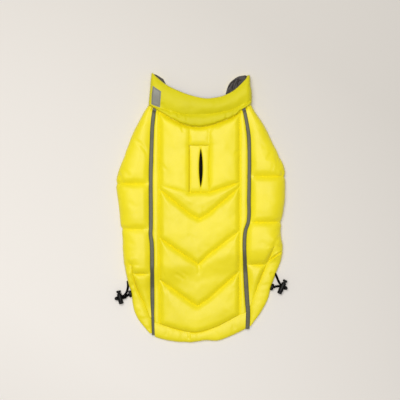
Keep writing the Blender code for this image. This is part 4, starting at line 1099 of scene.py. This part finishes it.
COLLAR_CREASES = (
    (-34, 144, -36, 152, 1.2, 1.8), (-21, 138, -22, 147, 0.8, 1.8),
    (40, 140, 43, 150, 1.3, 1.8), (52, 146, 56, 157, 1.3, 1.8),
    (62, 153, 70, 166, 1.4, 2.2), (-66, 158, -58, 166, 1, 2.2),
    (-48, 149, -46, 157, 0.9, 1.8), (20, 134, 21, 142, 0.6, 1.8),
    (-52, 160, -30, 168, 0.35, 5), (20, 160, 44, 172, 0.35, 5),
    (-74, 196, -70, 206, 0.5, 2.2), (70, 196, 76, 204, 0.6, 2.4),
)


def build_collar():
    outer, relief = collar_grid(0, True)
    inner, _ = collar_grid(WALL, False)
    normals = facing(grid_normals(outer, ring=True), (15, 40), (0, 0, 1))
    x, y = outer[..., 0], outer[..., 1]
    above = np.clip(outer[..., 2] / COLLAR_HEIGHT, 0, 1)
    soft = np.clip(relief / 1.5, 0, 1)
    bumps = soft * layers(x, y, (0.9, 30, 101), (0.5, 11, 102))
    bumps -= crease_field(x, y, COLLAR_CREASES) * soft
    lines = [outer[row, :BACK_STATIONS + 1:4, :2] for row in (LOW_ROWS, 0)]
    bumps += pucker_field(x, y, lines, size=0.5, reach=6, spacing=5, seed=110) * soft
    outer = outer + normals * (bumps * above)[..., None]
    outer[..., 2] = np.maximum(outer[..., 2], 0)
    heights = arc_lengths(outer[:, 40])
    lip = 0
    for distance, reach, drop in ((heights[-1] - heights, 2.4, 1.7), (heights, 4.5, 2.6)):
        near = np.clip(distance / reach, 0, 1)[:, None]
        lip = lip + drop * (1 - np.sqrt(1 - (1 - near) ** 2))
    outer = outer - normals * (lip * above)[..., None]
    # outer face in the shell's cloth with painted shade
    item = closed_wall("collar_padding", ["collar_shell", "lining"], outer, inner, ring=True)
    dress(item, "collar_shell", "collar")
    span = slice(0, BACK_STATIONS + ROLL_STATIONS // 2)
    paths = [outer[LOW_ROWS, span], outer[LOW_ROWS + HIGH_ROWS - 2, 2:BACK_STATIONS - 1]]
    return item, stitch_row(paths, "collar_stitches", "thread", pitch=2.6), outer, normals


LINING_CREASES = (
    (40, 183, 47, 194, 3.4, 1.5), (46, 188, 53, 202, 3.4, 1.4),
    (52, 190, 60, 208, 3, 1.4), (60, 196, 68, 211, 2.6, 1.3),
    (-66, 196, -58, 206, 0.8, 2), (-72, 190, -62, 212, 0.8, 2),
    (-40, 150, -50, 170, 0.5, 3), (-10, 120, -14, 140, 0.5, 3),
    (16, 122, 22, 144, 0.5, 3),
)


def build_collar_lining():
    """Grey lining of the front of the collar, loosely wrinkled."""
    first = BACK_STATIONS + ROLL_STATIONS // 2
    last = first + ROLL_STATIONS + FRONT_STATIONS - 1
    face = collar_grid(WALL + SEAM_GAP, False)[0][:, first:last + 1]
    back = collar_grid(WALL + SEAM_GAP + LINING_WALL, False)[0][:, first:last + 1]
    for grid in (face, back):
        grid[-1, :, 1] -= 1.2 + 1.8 * ease((grid[-1, :, 0] - 46) / 12)
    normals = facing(grid_normals(back), (15, 40), (0, 0, 1))
    x, y = back[..., 0], back[..., 1]
    bumps = layers(x, y, (0.45, 12, 120), (0.3, 6, 121)) - crease_field(x, y, LINING_CREASES)
    bumps = 0.3 + np.clip(bumps, -2.8, 1.6)
    item = closed_wall("collar_lining_cloth", ["lining"], back + normals * bumps[..., None], face)
    return dress(item, "lining", "collar_lining")


def build_collar_tab(outer, normals):
    """Plain tab sewn on the left end of the collar, made from its points moved out."""
    count = outer.shape[1]
    start = count - round(ROLL_STATIONS / 6)
    columns = [(start + k) % count for k in range(count - start + round(BACK_STATIONS / 16) + 1)]
    rows = list(range(LOW_ROWS, LOW_ROWS + round(HIGH_ROWS * 3 / 5) + 1))
    patch = outer[np.ix_(rows, columns)]
    out = normals[np.ix_(rows, columns)]
    top = rounded(patch + out * 0.7, out, margin=0.9, drop=0.6)
    item = closed_wall("collar_tab_cloth", ["tab"], top, patch - out * 0.3)
    dress(item, "reflective", "collar_tab")
    border = np.concatenate((top[1, 1:-1], top[1:-1, -2], top[-2, 1:-1][::-1], top[1:-1, 1][::-1]))
    return item, stitch_row([border], "collar_tab_stitches", "grey_thread", pitch=2.2, thread=0.22)


# Drawcord, locks, end beads and eyelets
def turned_piece(name, cad_name, profile, place, axis):
    """Solid of revolution along a level axis; profile holds (radius, distance along it) pairs."""
    sides = TURNED_SIDES
    side = np.cross(axis, (0, 0, 1))
    side /= np.linalg.norm(side)
    up = np.cross(axis, side)
    vertices, faces = [], []
    for radius, along in profile:
        for k in range(sides):
            angle = 2 * math.pi * k / sides
            ring = side * math.cos(angle) + up * math.sin(angle)
            vertices.append(place + axis * along + ring * max(radius, 0.01))
    for r in range(len(profile) - 1):
        for k in range(sides):
            n = (k + 1) % sides
            faces.append((r * sides + k, (r + 1) * sides + k, (r + 1) * sides + n, r * sides + n))
    faces.append(list(range(sides)))
    faces.append([len(vertices) - sides + k for k in reversed(range(sides))])
    item = mesh_object(name, vertices, faces, ["black_plastic"])
    item.data.set_sharp_from_angle(angle=math.radians(SHARP_PLASTIC))
    return dress(item, "black_plastic", cad_name)


def rounded_profile(points, radius, steps=4):
    """Profile with its corners cut round."""
    points = [np.array(p, float) for p in points]
    made = [points[0]]
    for before, at, after in zip(points, points[1:], points[2:]):
        reach = min(radius, 0.45 * np.linalg.norm(at - before), 0.45 * np.linalg.norm(after - at))
        a = at + (before - at) / np.linalg.norm(before - at) * reach
        b = at + (after - at) / np.linalg.norm(after - at) * reach
        for k in range(steps + 1):
            t = k / steps
            made.append(a * (1 - t) ** 2 + at * 2 * t * (1 - t) + b * t * t)
    made.append(points[-1])
    return [(p[0], p[1]) for p in made]


def build_lock(lock):
    """Barrel with two grooves, button on its stem, and the ball at the end of the cord."""
    top = np.array((lock.top_x, lock.top_y, CORD_Z))
    end = np.array((lock.end_x, lock.end_y, CORD_Z))
    axis = (end - top) / np.linalg.norm(end - top)
    at = top + axis * (LOCK_HEAD + LOCK_OPEN)
    length = np.linalg.norm(end - at)
    bore, stem, head, radius = STEM_DEPTH + 0.5, LOCK_STEM, LOCK_HEAD_RADIUS, LOCK_RADIUS
    shape = [(0, bore), (LOCK_BORE, bore), (LOCK_BORE, 0), (radius - 0.15, 0), (radius, 1),
             (radius - 0.2, 1.4), (radius - 0.2, 2.4), (radius, 2.8), (radius, length - 4.2),
             (radius - 0.2, length - 3.8), (radius - 0.2, length - 3), (radius, length - 2.6),
             (radius, length - 1.2), (radius - 0.8, length), (0, length)]
    barrel = turned_piece("lock_" + lock.side + "_barrel", "lock_barrel_" + lock.side,
                          rounded_profile(shape, 0.35), at, axis)
    depth = LOCK_HEAD + LOCK_OPEN + STEM_DEPTH
    shape = [(0, 0.25), (1.6, 0), (head - 0.3, 0.1), (head, 0.7), (head, 1.2),
             (head - 0.25, 1.45), (head - 0.25, 1.75), (head, 2), (head, LOCK_HEAD - 0.3),
             (head - 0.4, LOCK_HEAD), (stem, LOCK_HEAD), (stem, depth), (0, depth)]
    button = turned_piece("lock_" + lock.side + "_button", "lock_button_" + lock.side,
                          rounded_profile(shape, 0.3), top, axis)
    away = np.array((-axis[1], axis[0], 0)) * lock.out
    hole = top + axis * CORD_HOLE_AT
    place = hole + away * (LOCK_RADIUS + SEAM_GAP + BEAD_RADIUS)
    angles = [math.pi * k / 16 for k in range(17)]
    rings = [(BEAD_RADIUS * 1.04 * math.sin(angle) ** 0.85, -BEAD_RADIUS * 1.06 * math.cos(angle))
             for angle in angles]
    bead = turned_piece("cord_end_" + lock.side, "cord_bead_" + lock.side, rings, place, away)
    return [barrel, button, bead], place, away, axis


def build_eyelet(lock):
    """Oval moulded eyelet on the edge of the hem, round on both faces."""
    sides, around = 40, 14
    vertices, faces = [], []
    turn = math.radians(lock.eyelet_turn)
    c, s = math.cos(turn), math.sin(turn)
    for k in range(sides):
        n = (k + 1) % sides
        angle = 2 * math.pi * k / sides
        rim = np.array((EYELET_LENGTH / 2 * math.cos(angle), EYELET_HEIGHT / 2 * math.sin(angle)))
        hole = np.array((EYELET_HOLE / 2 * math.cos(angle), EYELET_HOLE / 2 * math.sin(angle)))
        for m in range(around):
            q = (m + 1) % around
            phase = 2 * math.pi * m / around
            along, up = hole + (rim - hole) * (0.5 + 0.5 * math.cos(phase))
            out = EYELET_WALL / 2 * math.copysign(abs(math.sin(phase)) ** 0.7, math.sin(phase))
            vertices.append((lock.eyelet_x + out * c - along * s,
                             lock.eyelet_y + out * s + along * c, EYELET_HEIGHT / 2 + 0.1 + up))
            faces.append((k * around + m, k * around + q, n * around + q, n * around + m))
    item = mesh_object("hem_eyelet_" + lock.side, vertices, faces, ["black_plastic"])
    return dress(item, "black_plastic", "eyelet_" + lock.side)


def smooth_route(points, spacing=1.4):
    points = np.asarray(points, float)
    keys = arc_lengths(points)
    at = np.linspace(0, keys[-1], int(keys[-1] / spacing) + 2)
    line = np.stack([smooth_curve(keys, points[:, k])(at) for k in range(3)], axis=1)
    return resample(line, count=len(at))


def build_cord(lock, bead, away, axis):
    """One cord from the hem through the lock, round in its end bead and back to the eyelet."""
    name = "drawcord_" + lock.side
    first, second = CORD_ROUTES[lock.side]
    half = axis * 1.2
    turn = [bead - half - away * 0.6, bead - half * 0.72 + away * 0.45, bead + away * 0.85,
            bead + half * 0.72 + away * 0.45, bead + half - away * 0.6]
    line = smooth_route([*first, *turn, *second])
    line[:, 2] = np.maximum(line[:, 2], CORD / 2 + 0.05)
    data = bpy.data.curves.new(name, "CURVE")
    data.dimensions = "3D"
    data.bevel_depth = CORD / 2 * MM
    data.bevel_resolution = 2
    data.use_fill_caps = True
    spline = data.splines.new("POLY")
    spline.points.add(len(line) - 1)
    for point, place in zip(spline.points, line):
        point.co = (*(place * MM), 1)
    spline.use_smooth = True
    data.materials.append(materials["black_cord"])
    item = bpy.data.objects.new(name, data)
    bpy.context.collection.objects.link(item)
    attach(item, "root")
    return dress(item, "black_cord", name + "_upper", name + "_lower"), line


# Materials
materials = {}
WARM_SHEEN, COOL_SHEEN = (1, 0.95, 0.6), (0.8, 0.78, 0.9)
BLACK = (0.003, 0.0027, 0.0026)
WAVE_SCALE = 314.16  # of a wave texture, for bands 1 mm apart


def preset(node, **values):
    """Sets inputs of a node by their names, with _ for a blank."""
    for key, value in values.items():
        node.inputs[key.replace("_", " ")].default_value = value
    return node


def new_material(name):
    made = bpy.data.materials.new(name)
    made.use_nodes = True
    return made, made.node_tree, made.node_tree.nodes["Principled BSDF"]


def colour_mix(tree, low, high):
    mix = tree.nodes.new("ShaderNodeMix")
    mix.data_type = "RGBA"
    mix.inputs[6].default_value = (*low, 1)
    mix.inputs[7].default_value = (*high, 1)
    return mix


def surface(name, colour, roughness, sheen=0, sheen_tint=(1, 1, 1), specular=0.5, metallic=0,
            weave=0.45, weave_depth=0.03, folds=14, fold_depth=0.25, mottle=0.05):
    """Cloth, tape or moulded plastic: weave and folds in mm, mottle as a share of the colour."""
    made, tree, shader = new_material(name)
    preset(shader, Metallic=metallic, Specular_IOR_Level=specular, Sheen_Weight=sheen,
           Sheen_Roughness=0.45, Sheen_Tint=(*sheen_tint, 1))
    place = tree.nodes.new("ShaderNodeTexCoord")
    link = tree.links.new

    def noise_node(size, detail, rough=0.55):
        pattern = preset(tree.nodes.new("ShaderNodeTexNoise"), Scale=1000 / size, Detail=detail,
                         Roughness=rough)
        link(place.outputs["Object"], pattern.inputs["Vector"])
        return pattern

    def bump_node(height, depth):
        relief = preset(tree.nodes.new("ShaderNodeBump"), Strength=1, Distance=depth * MM)
        link(height, relief.inputs["Height"])
        return relief

    broad = noise_node(55, 3)
    fine = noise_node(2.2, 2)
    mix = colour_mix(tree, [c * (1 - 2.2 * mottle) for c in colour],
                     [min(1, c * (1 + mottle)) for c in colour])
    blend = tree.nodes.new("ShaderNodeMath")
    blend.operation = "MULTIPLY_ADD"
    link(fine.outputs["Fac"], blend.inputs[0])
    blend.inputs[1].default_value = 0.35
    link(broad.outputs["Fac"], blend.inputs[2])
    link(blend.outputs["Value"], mix.inputs[0])
    link(mix.outputs[2], shader.inputs["Base Color"])
    rough = preset(tree.nodes.new("ShaderNodeMapRange"), To_Min=max(0.05, roughness - 0.06),
                   To_Max=min(1, roughness + 0.06))
    link(broad.outputs["Fac"], rough.inputs["Value"])
    link(rough.outputs["Result"], shader.inputs["Roughness"])
    bump = bump_node(noise_node(folds, 4, 0.5).outputs["Fac"], fold_depth)
    if weave:
        both = tree.nodes.new("ShaderNodeMath")
        both.operation = "MULTIPLY"
        for socket, direction in zip(both.inputs, "XY"):
            wave = preset(tree.nodes.new("ShaderNodeTexWave"), Scale=WAVE_SCALE / weave,
                          Distortion=0.6, Detail=1)
            wave.bands_direction = direction
            link(place.outputs["Object"], wave.inputs["Vector"])
            link(wave.outputs["Fac"], socket)
        grain = bump_node(both.outputs["Value"], weave_depth)
        link(bump.outputs["Normal"], grain.inputs["Normal"])
        bump = grain
    link(bump.outputs["Normal"], shader.inputs["Normal"])
    materials[name] = made


def make_materials():
    surface("shell", (0.91, 0.78, 0.002), 0.46, sheen=0.08, sheen_tint=WARM_SHEEN, specular=0.56)
    # Collar: the shell's cloth with painted shade, darker and less shiny where the collar turns
    # from the light
    surface("collar_shell", (0.72, 0.645, 0.006), 0.52, sheen=0.04, sheen_tint=WARM_SHEEN,
            specular=0.25)
    surface("tab", (0.26, 0.26, 0.22), 0.5, weave=0.6, folds=20, fold_depth=0.1)
    surface("lining", (0.044, 0.036, 0.034), 0.55, sheen=0.4, sheen_tint=COOL_SHEEN,
            specular=0.45, folds=6, fold_depth=0.8, mottle=0.2)
    # Lining inside the coat, painted near black as the shade seen in the lead slit and over the
    # belly panel
    surface("shaded_lining", (0.008, 0.007, 0.006), 0.9, specular=0.1)
    surface("reflective", (0.097, 0.097, 0.06), 0.45, specular=0.4, weave=0.6, folds=20,
            fold_depth=0.1, mottle=0.06, metallic=0.15)
    for name, colour in (("thread", (0.9, 0.79, 0.02)), ("grey_thread", (0.09, 0.095, 0.09))):
        surface(name, colour, 0.6, specular=0.3, weave=0, folds=0.8, fold_depth=0.05)
    surface("black_plastic", BLACK, 0.4, specular=0.2, weave=0, folds=1.2, fold_depth=0.012,
            mottle=0.1)
    surface("black_cord", BLACK, 0.95, specular=0.05, weave=0.7, weave_depth=0.12, folds=3,
            fold_depth=0.05, mottle=0.15)


# Floor and light
FLOOR_REACH = 4  # metres


def make_floor():
    """White floor, its colour lighter towards the lower left as painted light that makes it
    brightest there, though less lamp light reaches it.
    """
    made, tree, shader = new_material("floor")
    preset(shader, Roughness=0.9, Specular_IOR_Level=0.2)
    place = tree.nodes.new("ShaderNodeTexCoord")
    turn = tree.nodes.new("ShaderNodeVectorMath")
    turn.operation = "DOT_PRODUCT"
    turn.inputs[1].default_value = (-0.55, -0.85, 0)
    spread = preset(tree.nodes.new("ShaderNodeMapRange"), From_Min=-0.3, From_Max=0.3)
    # painted light: floor colour from darker upper right to lighter lower left
    mix = colour_mix(tree, (0.71, 0.68, 0.64), (0.92, 0.885, 0.845))
    tree.links.new(place.outputs["Object"], turn.inputs[0])
    tree.links.new(turn.outputs["Value"], spread.inputs["Value"])
    tree.links.new(spread.outputs["Result"], mix.inputs[0])
    tree.links.new(mix.outputs[2], shader.inputs["Base Color"])
    data = bpy.data.meshes.new("floor")
    corners = ((-1, -1), (1, -1), (1, 1), (-1, 1))
    corners = [(FLOOR_REACH * x, FLOOR_REACH * y, 0) for x, y in corners]
    data.from_pydata(corners, [], [(0, 1, 2, 3)])
    data.materials.append(made)
    item = bpy.data.objects.new("floor", data)
    item.location.z = -0.0003
    bpy.context.collection.objects.link(item)


def add_light(name, place, size, energy, colour):
    data = bpy.data.lights.new(name, "AREA")
    data.shape = "DISK"
    data.size = size
    data.energy = energy
    data.color = colour
    item = bpy.data.objects.new(name, data)
    item.location = place
    item.rotation_euler = (Vector((0, 0, 0)) - Vector(place)).to_track_quat("-Z", "Y").to_euler()
    bpy.context.collection.objects.link(item)


def make_light():
    world = bpy.data.worlds.new("world")
    bpy.context.scene.world = world
    world.use_nodes = True
    preset(world.node_tree.nodes["Background"], Color=(1, 0.99, 0.97, 1), Strength=0.28)
    add_light("key", (-0.35, 0.6, 1.65), size=1.1, energy=14.2, colour=(1, 0.985, 0.96))
    add_light("over", (0, -0.05, 2), size=0.9, energy=14, colour=(1, 0.98, 0.96))
    bpy.context.scene.view_settings.view_transform = "Standard"


# Build
place_camera()
make_materials()
for lock in LOCKS:
    pieces, bead, away, axis = build_lock(lock)
    cord, line = build_cord(lock, bead, away, axis)
    build_eyelet(lock)

back, back_outer, back_blocks = build_back()
back_thread = back_stitches(back_outer, back_blocks)
placket = build_placket()
sides = [build_side("side_left", -1), build_side("side_right", 1)]
belly = build_belly()
hems = [build_hem("hem_left", side_casing(-1), 200), build_hem("hem_right", side_casing(1), 210),
        build_hem("hem_centre", centre_casing(), 220)]
strips = [build_strip("strip_left", -1), build_strip("strip_right", 1)]
collar, collar_thread, collar_outer, collar_normals = build_collar()
lining = build_collar_lining()
tab = build_collar_tab(collar_outer, collar_normals)
make_floor()
make_light()
